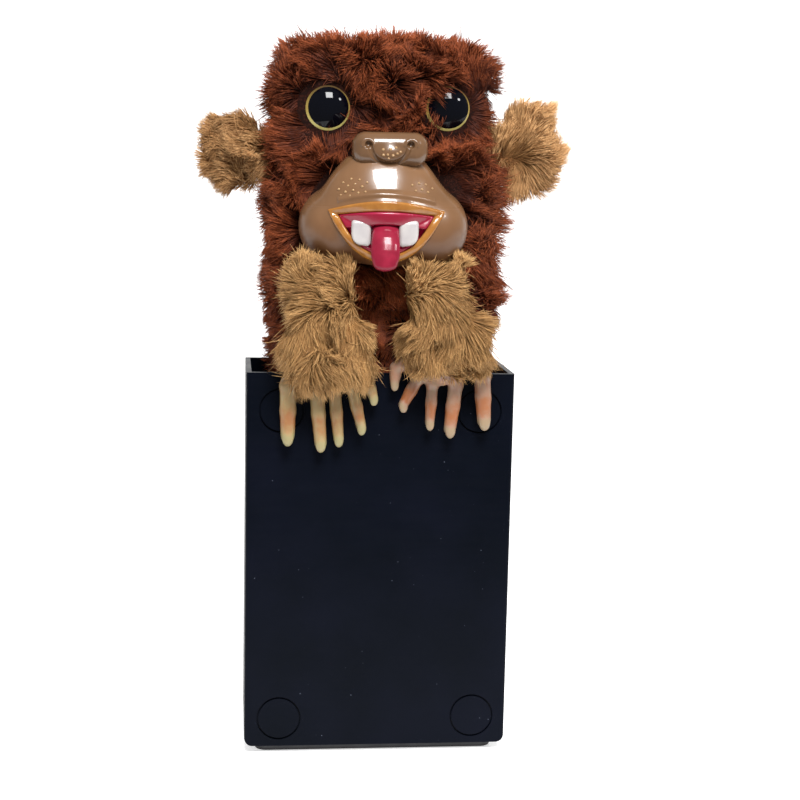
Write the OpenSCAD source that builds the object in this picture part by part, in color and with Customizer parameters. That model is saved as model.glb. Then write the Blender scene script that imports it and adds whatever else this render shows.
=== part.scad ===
// A pop-up plush monkey in a black box. A clockwork movement in the box turns a pinion,
// which lifts the furry figure on a rack. The front faces -Y and the box stands on z = 0.

/* [Box] */
// Outside width of the box
box_w = 92; // [88:0.5:100]
// Outside depth of the box, back cover included
box_d = 42; // [42:0.5:50]
// Height of the box's shell, above the base plate
box_h = 132; // [130:1:145]
// Thickness of the moulded walls
wall = 1.8; // [1.4:0.1:2]
// Height of the base plate
base_h = 3; // [2.5:0.1:4]
// How far the base plate stands inside the shell's outline
base_inset = 4; // [3:0.5:6]
// Radius of the front face's two bottom corners
corner_r = 3; // [1.5:0.5:4]
// Radius of the round plugs near the front face's corners
plug_r = 7.1; // [5:0.1:8]
// Width of the groove round each plug
plug_groove = 0.6; // [0.3:0.1:1]

/* [Movement] */
// Tooth module of every gear and of the rack
tooth_m = 1; // [1]
// Teeth on the great wheel, which carries the spring barrel
great_teeth = 36; // [36]
// Teeth on the centre pinion, which the great wheel drives
centre_pinion_teeth = 12; // [12]
// Teeth on the centre wheel
centre_wheel_teeth = 30; // [30]
// Teeth on the fly pinion, which the centre wheel drives
fly_teeth = 10; // [10]
// Teeth on the pinion that lifts the rack
rack_pinion_teeth = 16; // [16]
// How far the figure rises
stroke = 24; // [12:1:24]
// How far the stop slider travels
stop_travel = 3; // [2:0.1:3]

/* [Figure] */
// Width of the body and head, to half the depth of the pile
body_w = 77; // [74:0.5:80]
// Depth of the body and head, to half the depth of the pile
body_d = 34; // [34:0.5:36]
// Height of the top of the head, to half the depth of the pile
head_top = 246; // [244:1:250]
// Half the distance between the eyes' centres
eye_x = 20.4; // [18:0.1:22]
// Height of the eyes' centres
eye_z = 224; // [222:0.5:226]
// Outside radius of the gold ring round each eye
eye_r = 7.8; // [7:0.1:8.5]
// Half the distance between the two arms
arm_x = 19.5; // [19:0.1:20]

/* [Hidden] */
$fn = 48;

LEFT = -1;
RIGHT = 1;
SIDES = [LEFT, RIGHT];
eps = 0.01;
run_gap = 0.06;   // radial clearance of a shaft that turns in a hole
fit_gap = 0.1;    // radial clearance of a screw or pin that doesn't turn
press_gap = 0.02; // radial clearance of a pressed-in pin
box_black = [0.03, 0.035, 0.06];

front_y = -box_d / 2;
back_y = box_d / 2;
shell_top = base_h + box_h;
inner_w = box_w - 2 * wall;
inner_front_y = front_y + wall;
cover_y = back_y - wall;  // inner face of the back cover
plug_depth = 0.9;
plug_x = 34;
plug_heights = [13, 122];
edge_r = 1.2;
rail_t = 3;               // thickness and depth of the guide rails on the side walls
rail_z0 = 78;
rail_z1 = 128;
post_x = 40;
post_heights = [14, 74];
base_boss_x = 37.5;
base_boss_y = 12;

screw_r = 1;
screw_hole_r = screw_r + fit_gap;
click_stud_r = 1.3;
shoulder_pin_r = 1.5;
tongue_pin_r = 0.9;

// The movement stands between two plates. Its axles run along Y.
plate_t = 1.2;
plate_front_y = -15;      // front face of the front plate
plate_rear_y = 12;        // rear face of the rear plate
gap_front_y = plate_front_y + plate_t;
gap_rear_y = plate_rear_y - plate_t;
plate_x = 33;
plate_z0 = 8;
plate_z1 = 70;
pillar_x = 29.5;
pillar_heights = [12, 66];
great_at = [-12, 36];
centre_direction = 50;
fly_direction = -25;
centre_at = great_at + polar(tooth_m * (great_teeth + centre_pinion_teeth) / 2, centre_direction);
fly_at = centre_at + polar(tooth_m * (centre_wheel_teeth + fly_teeth) / 2, fly_direction);
rack_x = centre_at[0] + tooth_m * rack_pinion_teeth / 2;  // the rack's pitch line
great_y = [-3, -1];
centre_pinion_y = [-3.6, -0.4];
centre_wheel_y = [-7, -5];
fly_pinion_y = [-7.6, -4.4];
fly_wheel_y = [1.5, 5.5];
rack_y = [-12.8, -8.8];
rack_pinion_y = [-13.2, -8.4];
pressure_angle = 20;
addendum = 0.65;
dedendum = 1;
backlash = 0.2;           // taken off each tooth's thickness
rack_base_x = rack_x + dedendum;
rack_screw_xs = [rack_base_x - 1.5, rack_base_x + 6.5];
rack_screw_y = -5.4;
arbor_r = 2.2;
small_arbor_r = 1.5;
pivot_r = 1;
barrel_r = 14.5;
barrel_y = [-1, 8];
barrel_wall = 1.2;
spring_turns = 5;
spring_t = 0.5;
fly_r = 9.5;
ratchet_teeth = 12;
ratchet_tip_r = 6.5;
ratchet_root_r = 5.2;
ratchet_y = [12.4, 14.4];
notch_angle = 95;
click_at = [-24, 46];
shoe_x = fly_at[0] + fly_r + stop_travel + 0.1;

// The figure's frame stands on a carriage, which runs on the box's two rails.
carriage_z0 = 84;
carriage_t = 4;
foot_h = 4;               // how far the carriage's two feet hang below it
chassis_z0 = carriage_z0 + carriage_t;
chassis_z1 = 240;
chassis_w = 64;
chassis_d = 26;
chassis_r = 12;
chassis_front_y = -chassis_d / 2;
fur_z0 = 100;
fur_front_y = -body_d / 2;
skin_gap = 0.3;
muzzle_room = 0.6;        // more room than that, left in the fur round the muzzle
mouth_half_w = 19.3;
mouth_top = 193.8;
mouth_corner = 190.6;
mouth_bottom = 173.3;
lip_height = 0.6;         // how far the lips stand out of the muzzle
cup_inset = [1.8, 3.7];   // how far the mouth cup lies inside the lips, at the sides and top
nose_x = 6.3;
nose_z = 210.4;
nose_r = 5.5;
jowl = [14.5, 186.5];     // x and z of each jowl's centre
tongue_pivot = [-29.5, 184];
eye_base_y = -17.6;
shoulder = [-28, 160];    // y and z of both arms' hinge
ear_z = 209;
ear_y = [-6, 2];

function polar(r, a) = r * [cos(a), sin(a)];
function involute(a) = tan(a) * 180 / PI - a;
function tooth_half_angle(teeth, r) =
    let (pitch_r = tooth_m * teeth / 2, base_r = pitch_r * cos(pressure_angle))
    90 / teeth - backlash / 2 / pitch_r * 180 / PI
    + involute(pressure_angle) - involute(acos(min(1, base_r / r)));
function gear_radii(teeth) =
    let (pitch_r = tooth_m * teeth / 2, base_r = pitch_r * cos(pressure_angle),
         root_r = pitch_r - dedendum * tooth_m, tip_r = pitch_r + addendum * tooth_m,
         low_r = max(base_r, root_r))
    concat([root_r], [for (i = [(base_r > root_r ? 0 : 1) : 3]) low_r + (tip_r - low_r) * i / 3]);
function gear_points(teeth, phase) =
    let (radii = gear_radii(teeth), n = len(radii))
    [for (i = [0 : teeth - 1], k = [0 : 2 * n - 1])
        let (r = radii[k < n ? k : 2 * n - 1 - k], side = k < n ? -1 : 1)
        polar(r, phase + 360 * i / teeth + side * tooth_half_angle(teeth, r))];

// Extrudes an outline drawn in X and Z from y0 to y1.
module along_y(y0, y1) {
    translate([0, y1, 0]) rotate([90, 0, 0]) linear_extrude(y1 - y0) children();
}

// Extrudes an outline drawn in Y and Z from x0 to x1.
module along_x(x0, x1) {
    translate([x0, 0, 0]) rotate([90, 0, 90]) linear_extrude(x1 - x0) children();
}

module rod_y(at, r, y0, y1) {
    translate([at[0], y1, at[1]]) rotate([90, 0, 0]) cylinder(r = r, h = y1 - y0);
}

module rod_x(at, r, x0, x1) {
    translate([x0, at[0], at[1]]) rotate([0, 90, 0]) cylinder(r = r, h = x1 - x0);
}

module rod_z(at, r, z0, z1) {
    translate([at[0], at[1], z0]) cylinder(r = r, h = z1 - z0);
}

module block(low, high) {
    translate(low) cube(high - low);
}

module at_xz(x, heights) {
    for (side = SIDES, z = heights) translate([side * x, 0, z]) children();
}

// A rectangle with separate radii at its bottom and top corners.
module rounded_rect(w, z0, z1, r_bottom, r_top) {
    translate([-w / 2, z0 + r_bottom]) square([w, z1 - z0 - r_bottom - r_top]);
    if (r_bottom > 0) {
        translate([-w / 2 + r_bottom, z0]) square([w - 2 * r_bottom, r_bottom + eps]);
        for (side = SIDES) translate([side * (w / 2 - r_bottom), z0 + r_bottom]) circle(r_bottom);
    }
    if (r_top > 0) {
        translate([-w / 2 + r_top, z1 - r_top - eps]) square([w - 2 * r_top, r_top + eps]);
        for (side = SIDES) translate([side * (w / 2 - r_top), z1 - r_top]) circle(r_top);
    }
}

// A screw along Y with its head at head_y, pointing towards -Y.
module screw_y(head_y, length, head_r = 2, head_h = 1.2) {
    rod_y([0, 0], head_r, head_y - head_h, head_y);
    rod_y([0, 0], screw_r, head_y - head_h - length, head_y - head_h + eps);
}

module gear(teeth, phase, at, y_range, bore_r) {
    difference() {
        along_y(y_range[0], y_range[1]) translate(at) polygon(gear_points(teeth, phase));
        rod_y(at, bore_r, y_range[0] - 1, y_range[1] + 1);
    }
}

// ---- Box ----

module front_shell() {
    color(box_black) difference() {
        union() {
            difference() {
                intersection() {
                    along_y(front_y, cover_y) rounded_rect(box_w, base_h, shell_top, corner_r, 0);
                    linear_extrude(shell_top + 1) mirror([0, 1])
                        rounded_rect(box_w, -cover_y, -front_y, 0, edge_r);
                }
                block([-inner_w / 2, inner_front_y, base_h + wall], [inner_w / 2, back_y, shell_top + 1]);
            }
            for (side = SIDES) scale([side, 1, 1]) {
                block([inner_w / 2 - rail_t, -rail_t / 2, rail_z0],
                      [inner_w / 2 + eps, rail_t / 2, rail_z1]);
                block([inner_w / 2 - 7, -4, rail_z0 - 0.5],
                      [inner_w / 2 + eps, 4, carriage_z0 - foot_h - 0.1]);
            }
            at_xz(post_x, post_heights) rod_y([0, 0], 3, inner_front_y - eps, cover_y);
            at_xz(pillar_x, pillar_heights) rod_y([0, 0], 3.2, inner_front_y - eps, plate_front_y);
            for (side = SIDES, end = SIDES)
                rod_z([side * base_boss_x, end * base_boss_y], 2.8, base_h + wall - eps, base_h + 6);
        }
        at_xz(plug_x, plug_heights) rod_y([0, 0], plug_r + plug_groove, front_y - 1, front_y + plug_depth);
        at_xz(post_x, post_heights) rod_y([0, 0], screw_hole_r, cover_y - 12, cover_y + 1);
        at_xz(pillar_x, pillar_heights) rod_y([0, 0], screw_hole_r, inner_front_y + 0.2, plate_front_y + 1);
        for (side = SIDES, end = SIDES)
            rod_z([side * base_boss_x, end * base_boss_y], screw_hole_r, base_h - 1, base_h + 5);
    }
}

module back_cover() {
    key_hole_r = 4.5;
    color(box_black) difference() {
        along_y(cover_y, back_y) rounded_rect(box_w, base_h, shell_top, corner_r, 0);
        rod_y(great_at, key_hole_r, cover_y - 1, back_y + 1);
        at_xz(post_x, post_heights) {
            rod_y([0, 0], screw_hole_r, cover_y - 1, back_y + 1);
            rod_y([0, 0], 2.3, back_y - 1, back_y + 1);
        }
        block([shoe_x - stop_travel - 0.4, cover_y - 1, fly_at[1] - 1.8],
              [shoe_x + 3.6, back_y + 1, fly_at[1] + 1.8]);
    }
}

module base_plate() {
    depth = box_d - 2 * base_inset;
    color([0.07, 0.07, 0.08]) difference() {
        linear_extrude(base_h) rounded_rect(box_w - 2 * base_inset, -depth / 2, depth / 2, 4, 4);
        for (side = SIDES, end = SIDES) {
            rod_z([side * base_boss_x, end * base_boss_y], screw_hole_r, -1, base_h + 1);
            rod_z([side * base_boss_x, end * base_boss_y], 2.3, -1, 1.6);
        }
    }
}

module corner_plugs() {
    color(box_black) at_xz(plug_x, plug_heights)
        rod_y([0, 0], plug_r, front_y, front_y + plug_depth);
}

module case_screws() {
    color("silver") at_xz(post_x, post_heights) screw_y(back_y + 0.2, 10);
}

module base_screws() {
    color("silver") for (side = SIDES, end = SIDES) {
        rod_z([side * base_boss_x, end * base_boss_y], 2, 0.4, 1.6);
        rod_z([side * base_boss_x, end * base_boss_y], screw_r, 1.6 - eps, base_h + 4);
    }
}

// ---- Movement ----

module plate_outline() {
    rounded_rect(2 * plate_x, plate_z0, plate_z1, 4, 4);
}

module plate_holes(y0, y1, great_r) {
    rod_y(great_at, great_r, y0, y1);
    rod_y(centre_at, pivot_r + run_gap, y0, y1);
    rod_y(fly_at, pivot_r + run_gap, y0, y1);
    at_xz(pillar_x, pillar_heights) rod_y([0, 0], screw_hole_r, y0, y1);
}

module front_movement_plate() {
    color("goldenrod") difference() {
        along_y(plate_front_y, gap_front_y) plate_outline();
        plate_holes(plate_front_y - 1, gap_front_y + 1, pivot_r + run_gap);
    }
}

module rear_movement_plate() {
    color("goldenrod") difference() {
        along_y(gap_rear_y, plate_rear_y) plate_outline();
        plate_holes(gap_rear_y - 1, plate_rear_y + 1, arbor_r + run_gap);
        rod_y(click_at, click_stud_r + fit_gap, gap_rear_y - 1, plate_rear_y + 1);
        block([shoe_x - stop_travel - 0.5, gap_rear_y - 1, fly_at[1] - 3],
              [plate_x + 1, plate_rear_y + 1, fly_at[1] + 3]);
    }
}

module plate_pillars() {
    color("goldenrod") difference() {
        at_xz(pillar_x, pillar_heights) rod_y([0, 0], 2.8, gap_front_y, gap_rear_y);
        at_xz(pillar_x, pillar_heights) rod_y([0, 0], screw_hole_r, gap_front_y - 1, gap_rear_y + 1);
    }
}

module movement_screws() {
    color("silver") at_xz(pillar_x, pillar_heights) screw_y(plate_rear_y + 1.2, 30.4);
}

module click_stud() {
    color("silver") {
        rod_y(click_at, click_stud_r, gap_rear_y - 0.4, ratchet_y[1] + 0.3);
        rod_y(click_at, 2.4, ratchet_y[1] + 0.3 - eps, ratchet_y[1] + 1.1);
    }
}

module great_wheel() {
    color("gold") gear(great_teeth, centre_direction, great_at, great_y, arbor_r + run_gap);
}

module spring_barrel() {
    color("goldenrod") difference() {
        rod_y(great_at, barrel_r, barrel_y[0], barrel_y[1]);
        rod_y(great_at, barrel_r - barrel_wall, barrel_y[0] + 0.8, barrel_y[1] + 1);
        rod_y(great_at, arbor_r + run_gap, barrel_y[0] - 1, barrel_y[1]);
    }
}

module barrel_cover() {
    color("goldenrod") difference() {
        rod_y(great_at, barrel_r - barrel_wall, barrel_y[1] - 0.8, barrel_y[1]);
        rod_y(great_at, arbor_r + run_gap, barrel_y[1] - 2, barrel_y[1] + 1);
    }
}

module mainspring() {
    steps = spring_turns * 18;
    r0 = 3.4;
    r1 = barrel_r - barrel_wall - 0.5;
    function spring_r(i) = r0 + (r1 - r0) * i / steps;
    color("slategray") along_y(barrel_y[0] + 1.1, barrel_y[1] - 1.1) translate(great_at) polygon(concat(
        [for (i = [0 : steps]) polar(spring_r(i), 20 * i)],
        [for (i = [steps : -1 : 0]) polar(spring_r(i) - spring_t, 20 * i)]));
}

module winding_arbor() {
    color("silver") {
        rod_y(great_at, pivot_r, plate_front_y, gap_front_y + 0.4);
        rod_y(great_at, arbor_r, gap_front_y + 0.3, 27);
    }
}

module ratchet_wheel() {
    color("silver") difference() {
        along_y(ratchet_y[0], ratchet_y[1]) translate(great_at) polygon(
            [for (i = [0 : ratchet_teeth - 1], k = [0, 1])
                k == 0 ? polar(ratchet_tip_r, notch_angle + 360 * i / ratchet_teeth)
                       : polar(ratchet_root_r, notch_angle + 360 * i / ratchet_teeth + 2)]);
        rod_y(great_at, arbor_r, ratchet_y[0] - 1, ratchet_y[1] + 1);
    }
}

module winding_key() {
    hub_y = [22, 30];
    wing_t = 2.4;
    color("silver") difference() {
        union() {
            rod_y(great_at, 3.8, hub_y[0], hub_y[1]);
            for (side = SIDES) translate([great_at[0] + side * 8, 33.5, great_at[1] - wing_t / 2])
                cylinder(r = 6.5, h = wing_t);
            block([great_at[0] - 8, 27, great_at[1] - wing_t / 2],
                  [great_at[0] + 8, 37, great_at[1] + wing_t / 2]);
        }
        rod_y(great_at, arbor_r, 20, 27);
    }
}

module ratchet_click() {
    nose = [great_at + polar(5.65, notch_angle + 6), great_at + polar(7.6, notch_angle + 3)];
    heel = great_at + polar(6.6, notch_angle + 20);
    color("silver") difference() {
        union() {
            rod_y(click_at, 2.6, ratchet_y[0], ratchet_y[1]);
            along_y(ratchet_y[0], ratchet_y[1])
                polygon([nose[0], nose[1], click_at + [0.5, 2.5], click_at + [-1, -2.3], heel]);
        }
        rod_y(click_at, click_stud_r + run_gap, ratchet_y[0] - 1, ratchet_y[1] + 1);
    }
}

module centre_wheel() {
    color("gold") gear(centre_wheel_teeth, fly_direction, centre_at, centre_wheel_y, small_arbor_r);
}

module centre_pinion() {
    phase = centre_direction + 180 + 180 / centre_pinion_teeth;
    color("silver") gear(centre_pinion_teeth, phase, centre_at, centre_pinion_y, small_arbor_r);
}

module rack_pinion() {
    color("silver") gear(rack_pinion_teeth, 0, centre_at, rack_pinion_y, small_arbor_r);
}

module small_arbor(at) {
    rod_y(at, small_arbor_r, gap_front_y + 0.3, gap_rear_y - 0.3);
    rod_y(at, pivot_r, plate_front_y, plate_rear_y);
}

module centre_arbor() {
    color("silver") small_arbor(centre_at);
}

module fly_pinion() {
    phase = fly_direction + 180 + 180 / fly_teeth;
    color("silver") gear(fly_teeth, phase, fly_at, fly_pinion_y, small_arbor_r);
}

module fly_arbor() {
    color("silver") small_arbor(fly_at);
}

module fly_wheel() {
    color("goldenrod") difference() {
        rod_y(fly_at, fly_r, fly_wheel_y[0], fly_wheel_y[1]);
        rod_y(fly_at, fly_r - 1.5, fly_wheel_y[0] + 1.5, fly_wheel_y[1] + 1);
        rod_y(fly_at, small_arbor_r, fly_wheel_y[0] - 1, fly_wheel_y[1]);
    }
}

module stop_slider() {
    z = fly_at[1];
    color("red") {
        block([shoe_x, fly_wheel_y[0], z - 1.5], [shoe_x + 3.2, back_y + 0.5, z + 1.5]);
        block([shoe_x - 1, cover_y - 1.6, z - 4], [shoe_x + 5.5, cover_y - 0.3, z + 4]);
        block([shoe_x - 1.5, back_y + 0.3, z - 3.5], [shoe_x + 4.7, back_y + 3, z + 3.5]);
    }
}

// ---- Lift ----

module lift_rack() {
    pitch = PI * tooth_m;
    rack_z0 = centre_at[1] - stroke - 8;
    tooth_count = ceil((stroke + 14) / pitch);
    function tooth_half_at(x) = pitch / 4 - backlash / 2 + (x - rack_x) * tan(pressure_angle);
    first = -ceil((stroke + 4) / pitch) + 0.5;
    color("silver") difference() {
        union() {
            along_y(rack_y[0], rack_y[1]) polygon(concat(
                [[rack_base_x + 5, carriage_z0], [rack_base_x + 5, rack_z0], [rack_base_x, rack_z0]],
                [for (i = [0 : tooth_count - 1], k = [0 : 3])
                    let (x = k == 0 || k == 3 ? rack_base_x : rack_x - addendum * tooth_m,
                         side = k < 2 ? -1 : 1)
                    [x, centre_at[1] + (first + i) * pitch + side * tooth_half_at(x)]],
                [[rack_base_x, carriage_z0]]));
            block([rack_base_x - 4, rack_y[0], carriage_z0 - 2], [rack_base_x + 9, -3, carriage_z0]);
        }
        for (x = rack_screw_xs)
            rod_z([x, rack_screw_y], screw_hole_r, carriage_z0 - 3, carriage_z0 + 1);
    }
}

module rack_screws() {
    color("silver") for (x = rack_screw_xs) {
        rod_z([x, rack_screw_y], 1.9, carriage_z0 - 3.2, carriage_z0 - 2);
        rod_z([x, rack_screw_y], screw_r, carriage_z0 - 2 - eps, carriage_z0 + 3.5);
    }
}

module carriage() {
    half = inner_w / 2 - 0.6;
    notch = rail_t / 2 + 0.3;
    color("dimgray") difference() {
        union() {
            block([-half, -14.5, carriage_z0], [half, 14.5, carriage_z0 + carriage_t]);
            for (side = SIDES) scale([side, 1, 1]) block([36, -5, carriage_z0 - foot_h], [half, 5, 98]);
        }
        for (side = SIDES) scale([side, 1, 1])
            block([inner_w / 2 - rail_t - 0.3, -notch, carriage_z0 - 5], [half + 1, notch, 99]);
        for (x = rack_screw_xs)
            rod_z([x, rack_screw_y], screw_hole_r, carriage_z0 - 1, carriage_z0 + carriage_t + 1);
    }
}

// ---- Figure's frame ----

module chassis_half(y0, y1, hollow_y0, hollow_y1) {
    difference() {
        along_y(y0, y1) rounded_rect(chassis_w, chassis_z0, chassis_z1, 0, chassis_r);
        along_y(hollow_y0, hollow_y1)
            rounded_rect(chassis_w - 2 * wall, chassis_z0 + wall, chassis_z1 - wall, 0, chassis_r - wall);
    }
}

chassis_screw_x = 26;
chassis_screw_heights = [96, 212];

module chassis_front() {
    lug_t = 3.6;
    color("dimgray") difference() {
        union() {
            chassis_half(chassis_front_y, 0, chassis_front_y + wall, 1);
            at_xz(chassis_screw_x, chassis_screw_heights) rod_y([0, 0], 3, chassis_front_y + 1, 0);
            for (side = SIDES) translate([side * arm_x, 0, 0]) {
                block([-lug_t / 2, shoulder[0], shoulder[1] - 3],
                      [lug_t / 2, chassis_front_y + 1, shoulder[1] + 3]);
                rod_x(shoulder, 4.5, -lug_t / 2, lug_t / 2);
            }
        }
        at_xz(chassis_screw_x, chassis_screw_heights) rod_y([0, 0], screw_hole_r, chassis_front_y + 2, 1);
        for (side = SIDES) rod_x(shoulder, shoulder_pin_r + press_gap, side * arm_x - 3, side * arm_x + 3);
        at_xz(eye_x, [eye_z]) rod_y([0, 0], 2 + fit_gap, chassis_front_y - 1, chassis_front_y + 3);
        at_xz(muzzle_screw_x, [muzzle_screw_z])
            rod_y([0, 0], screw_hole_r, chassis_front_y - 1, chassis_front_y + 3);
    }
}

module chassis_back() {
    rear = chassis_d / 2;
    color("dimgray") difference() {
        union() {
            chassis_half(0, rear, -1, rear - wall);
            at_xz(chassis_screw_x, chassis_screw_heights) rod_y([0, 0], 3, 0, rear - 1);
        }
        at_xz(chassis_screw_x, chassis_screw_heights) {
            rod_y([0, 0], screw_hole_r, -1, rear + 1);
            rod_y([0, 0], 2.2, rear - 3, rear + 1);
        }
    }
}

module chassis_screws() {
    color("silver") at_xz(chassis_screw_x, chassis_screw_heights) screw_y(chassis_d / 2 - 1.8, 18);
}

// The fur fabric and its pile, as one hollow soft solid round the frame.
module body_fur() {
    color([0.3, 0.13, 0.07]) difference() {
        intersection() {
            along_y(fur_front_y, -fur_front_y) rounded_rect(body_w, fur_z0, head_top, 0, 15);
            translate([0, 0, fur_z0 - 1]) linear_extrude(head_top)
                rounded_rect(body_w, fur_front_y, -fur_front_y, 9, 9);
        }
        along_y(chassis_front_y - skin_gap, -chassis_front_y + skin_gap)
            rounded_rect(chassis_w + 2 * skin_gap, fur_z0 - 1, chassis_z1 + skin_gap, 0,
                         chassis_r + skin_gap);
        along_y(fur_front_y - 1, 0) muzzle_outline(skin_gap + muzzle_room);
        at_xz(eye_x, [eye_z]) rod_y([0, 0], 3.5, fur_front_y - 1, 0);
        for (side = SIDES) block([side * arm_x - 3, fur_front_y - 1, shoulder[1] - 4],
                                 [side * arm_x + 3, 0, shoulder[1] + 4]);
    }
}

module ear(side) {
    outline_x = side * body_w / 2;
    color([0.55, 0.38, 0.22]) along_y(ear_y[0], ear_y[1]) {
        translate([side * 50, ear_z]) circle(11.5);
        translate([min(outline_x, side * 50), ear_z - 9]) square([abs(side * 50 - outline_x), 18]);
    }
}

module left_ear() {
    ear(LEFT);
}

module right_ear() {
    ear(RIGHT);
}

// ---- Face ----

muzzle_screw_x = 17;
muzzle_screw_z = 196;

module muzzle_outline(grow) {
    hull() for (side = SIDES) {
        translate([side * nose_x, nose_z]) circle(nose_r + grow, $fn = 32);
        translate([side * jowl[0], jowl[1]]) circle(13 + grow, $fn = 32);
    }
}

module muzzle_form(grow) {
    hull() {
        for (side = SIDES) {
            rod_y([side * jowl[0], jowl[1]], 13 + grow, chassis_front_y - 5, chassis_front_y, $fn = 32);
            translate([side * jowl[0], -24, jowl[1]]) sphere(13.8 + grow, $fn = 28);
            rod_y([side * 6, 199.5], 7 + grow, chassis_front_y - 5, chassis_front_y, $fn = 32);
            translate([side * 6, -27, 199.5]) sphere(7 + grow, $fn = 28);
        }
        translate([0, -30, 186]) sphere(15 + grow, $fn = 28);
    }
}

module nose_form(grow) {
    hull() for (side = SIDES) {
        translate([side * nose_x, -31.5, nose_z]) sphere(nose_r + grow, $fn = 28);
        rod_y([side * nose_x, nose_z], nose_r + grow, -20, chassis_front_y - wall, $fn = 32);
    }
}

// The mouth's outline, drawn in by separate amounts at its sides and top.
function mouth_points(inset, top_inset) =
    let (half = mouth_half_w - 1.6 * inset, top = mouth_top - top_inset,
         corner = mouth_corner - max(0.7 * inset, top_inset - 2), bottom = mouth_bottom + 1.2 * inset)
    concat([for (i = [-8 : 8]) let (u = i / 8) [half * u, bottom + (corner - bottom) * pow(abs(u), 2.3)]],
           [for (i = [7 : -1 : -7]) let (u = i / 8) [half * u, corner + (top - corner) * cos(90 * u)]]);

module muzzle_shell() {
    color([0.36, 0.25, 0.18]) difference() {
        union() {
            difference() {
                muzzle_form(0);
                muzzle_form(-wall);
                block([-40, chassis_front_y - wall - 1, 150], [40, 5, 230]);
            }
            difference() {
                along_y(chassis_front_y - wall - 1, chassis_front_y) muzzle_outline(0);
                along_y(chassis_front_y - 5, chassis_front_y + 1) polygon(mouth_points(0, 0));
            }
        }
        nose_form(fit_gap);
        along_y(-60, chassis_front_y - wall - 1.2) polygon(mouth_points(-fit_gap, -fit_gap));
        at_xz(muzzle_screw_x, [muzzle_screw_z])
            rod_y([0, 0], screw_hole_r, chassis_front_y - wall - 2, chassis_front_y + 1);
    }
}

module muzzle_screws() {
    head_y = chassis_front_y + wall + 1.2;
    color("silver") at_xz(muzzle_screw_x, [muzzle_screw_z]) screw_y(head_y, 4);
}

module nose_piece() {
    color([0.42, 0.29, 0.21]) difference() {
        nose_form(0);
        for (side = SIDES) translate([side * 5.6, -36.6, nose_z + 1.2]) sphere(1.5, $fn = 24);
    }
}

module lip_ring() {
    color([0.85, 0.5, 0.15]) intersection() {
        muzzle_form(lip_height);
        along_y(-60, -24) difference() {
            polygon(mouth_points(0, 0));
            polygon(mouth_points(1.7, 3.6));
        }
    }
}

module mouth_cup() {
    color([0.75, 0.12, 0.25]) difference() {
        union() {
            along_y(-26, -24.5) polygon(mouth_points(cup_inset[0], cup_inset[1]));
            along_y(-36, -25) difference() {
                polygon(mouth_points(cup_inset[0], cup_inset[1]));
                polygon(mouth_points(3, 5.6));
            }
            for (side = SIDES) scale([side, 1, 1]) block([4.8, -32, 182], [6.2, -25, 186]);
        }
        rod_x(tongue_pivot, tongue_pin_r + press_gap, -8, 8);
    }
}

module teeth() {
    color("ivory") for (side = SIDES) scale([side, 1, 1]) along_y(-40.5, -36) {
        translate([4.7, 183.5]) square([6.3, 4.6]);
        intersection() {
            translate([4.7, 179.2]) square([6.3, 4.8]);
            translate([6.4, 183.8]) circle(4.6);
        }
    }
}

// The tongue's side view is a band of even thickness round hand-placed points.
tongue_path = [[-29.5, 184], [-34, 183.6], [-38.5, 182], [-42.3, 179], [-44, 175.8], [-44.3, 173.3]];

module tongue() {
    color([0.75, 0.13, 0.25]) difference() {
        union() {
            for (i = [0 : len(tongue_path) - 2]) {
                half = i < 4 ? 4.2 : 4.8;
                along_x(-half, half) hull()
                    for (k = [i, i + 1]) translate(tongue_path[k]) circle(1.9, $fn = 24);
            }
            rod_x(tongue_pivot, 2.4, -4.2, 4.2);
        }
        rod_x(tongue_pivot, tongue_pin_r + run_gap, -5, 5);
    }
}

module tongue_pin() {
    color("silver") rod_x(tongue_pivot, tongue_pin_r, -6.2, 6.2);
}

module at_eye(side) {
    translate([side * eye_x, eye_base_y, eye_z]) rotate([90, 0, 0]) children();
}

eye_dome_r = 9;
eye_dome_drop = 4.5;  // how far the dome's centre lies behind the iris

module eye_lens(side) {
    color([0.85, 0.9, 0.95, 0.3]) at_eye(side) difference() {
        intersection() {
            translate([0, 0, -eye_dome_drop]) sphere(eye_dome_r);
            translate([0, 0, 1]) cylinder(r = eye_r, h = 10);
        }
        translate([0, 0, -eye_dome_drop]) sphere(eye_dome_r - 0.8);
    }
}

module eye_iris(side) {
    color([0.8, 0.68, 0.25]) at_eye(side) {
        cylinder(r = eye_r, h = 0.9);
        translate([0, 0, -7.6]) cylinder(r = 2, h = 7.7);
    }
}

module eye_pupil(side) {
    color([0.01, 0.01, 0.03]) at_eye(side) intersection() {
        translate([0, 0, -eye_dome_drop]) sphere(eye_dome_r - 0.9);
        translate([0, 0, 0.95]) cylinder(r = 6.2, h = 10);
    }
}

module eye_washers() {
    color("silver") at_xz(eye_x, [eye_z]) difference() {
        rod_y([0, 0], 5, chassis_front_y + wall, chassis_front_y + wall + 0.8);
        rod_y([0, 0], 2, chassis_front_y, chassis_front_y + 4);
    }
}

module left_eye_lens() {
    eye_lens(LEFT);
}

module left_eye_iris() {
    eye_iris(LEFT);
}

module left_eye_pupil() {
    eye_pupil(LEFT);
}

module right_eye_lens() {
    eye_lens(RIGHT);
}

module right_eye_iris() {
    eye_iris(RIGHT);
}

module right_eye_pupil() {
    eye_pupil(RIGHT);
}

// ---- Arms ----

module shoulder_pin(side) {
    color("silver") rod_x(shoulder, shoulder_pin_r, side * arm_x - 6, side * arm_x + 6);
}

module left_shoulder_pin() {
    shoulder_pin(LEFT);
}

module right_shoulder_pin() {
    shoulder_pin(RIGHT);
}

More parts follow.
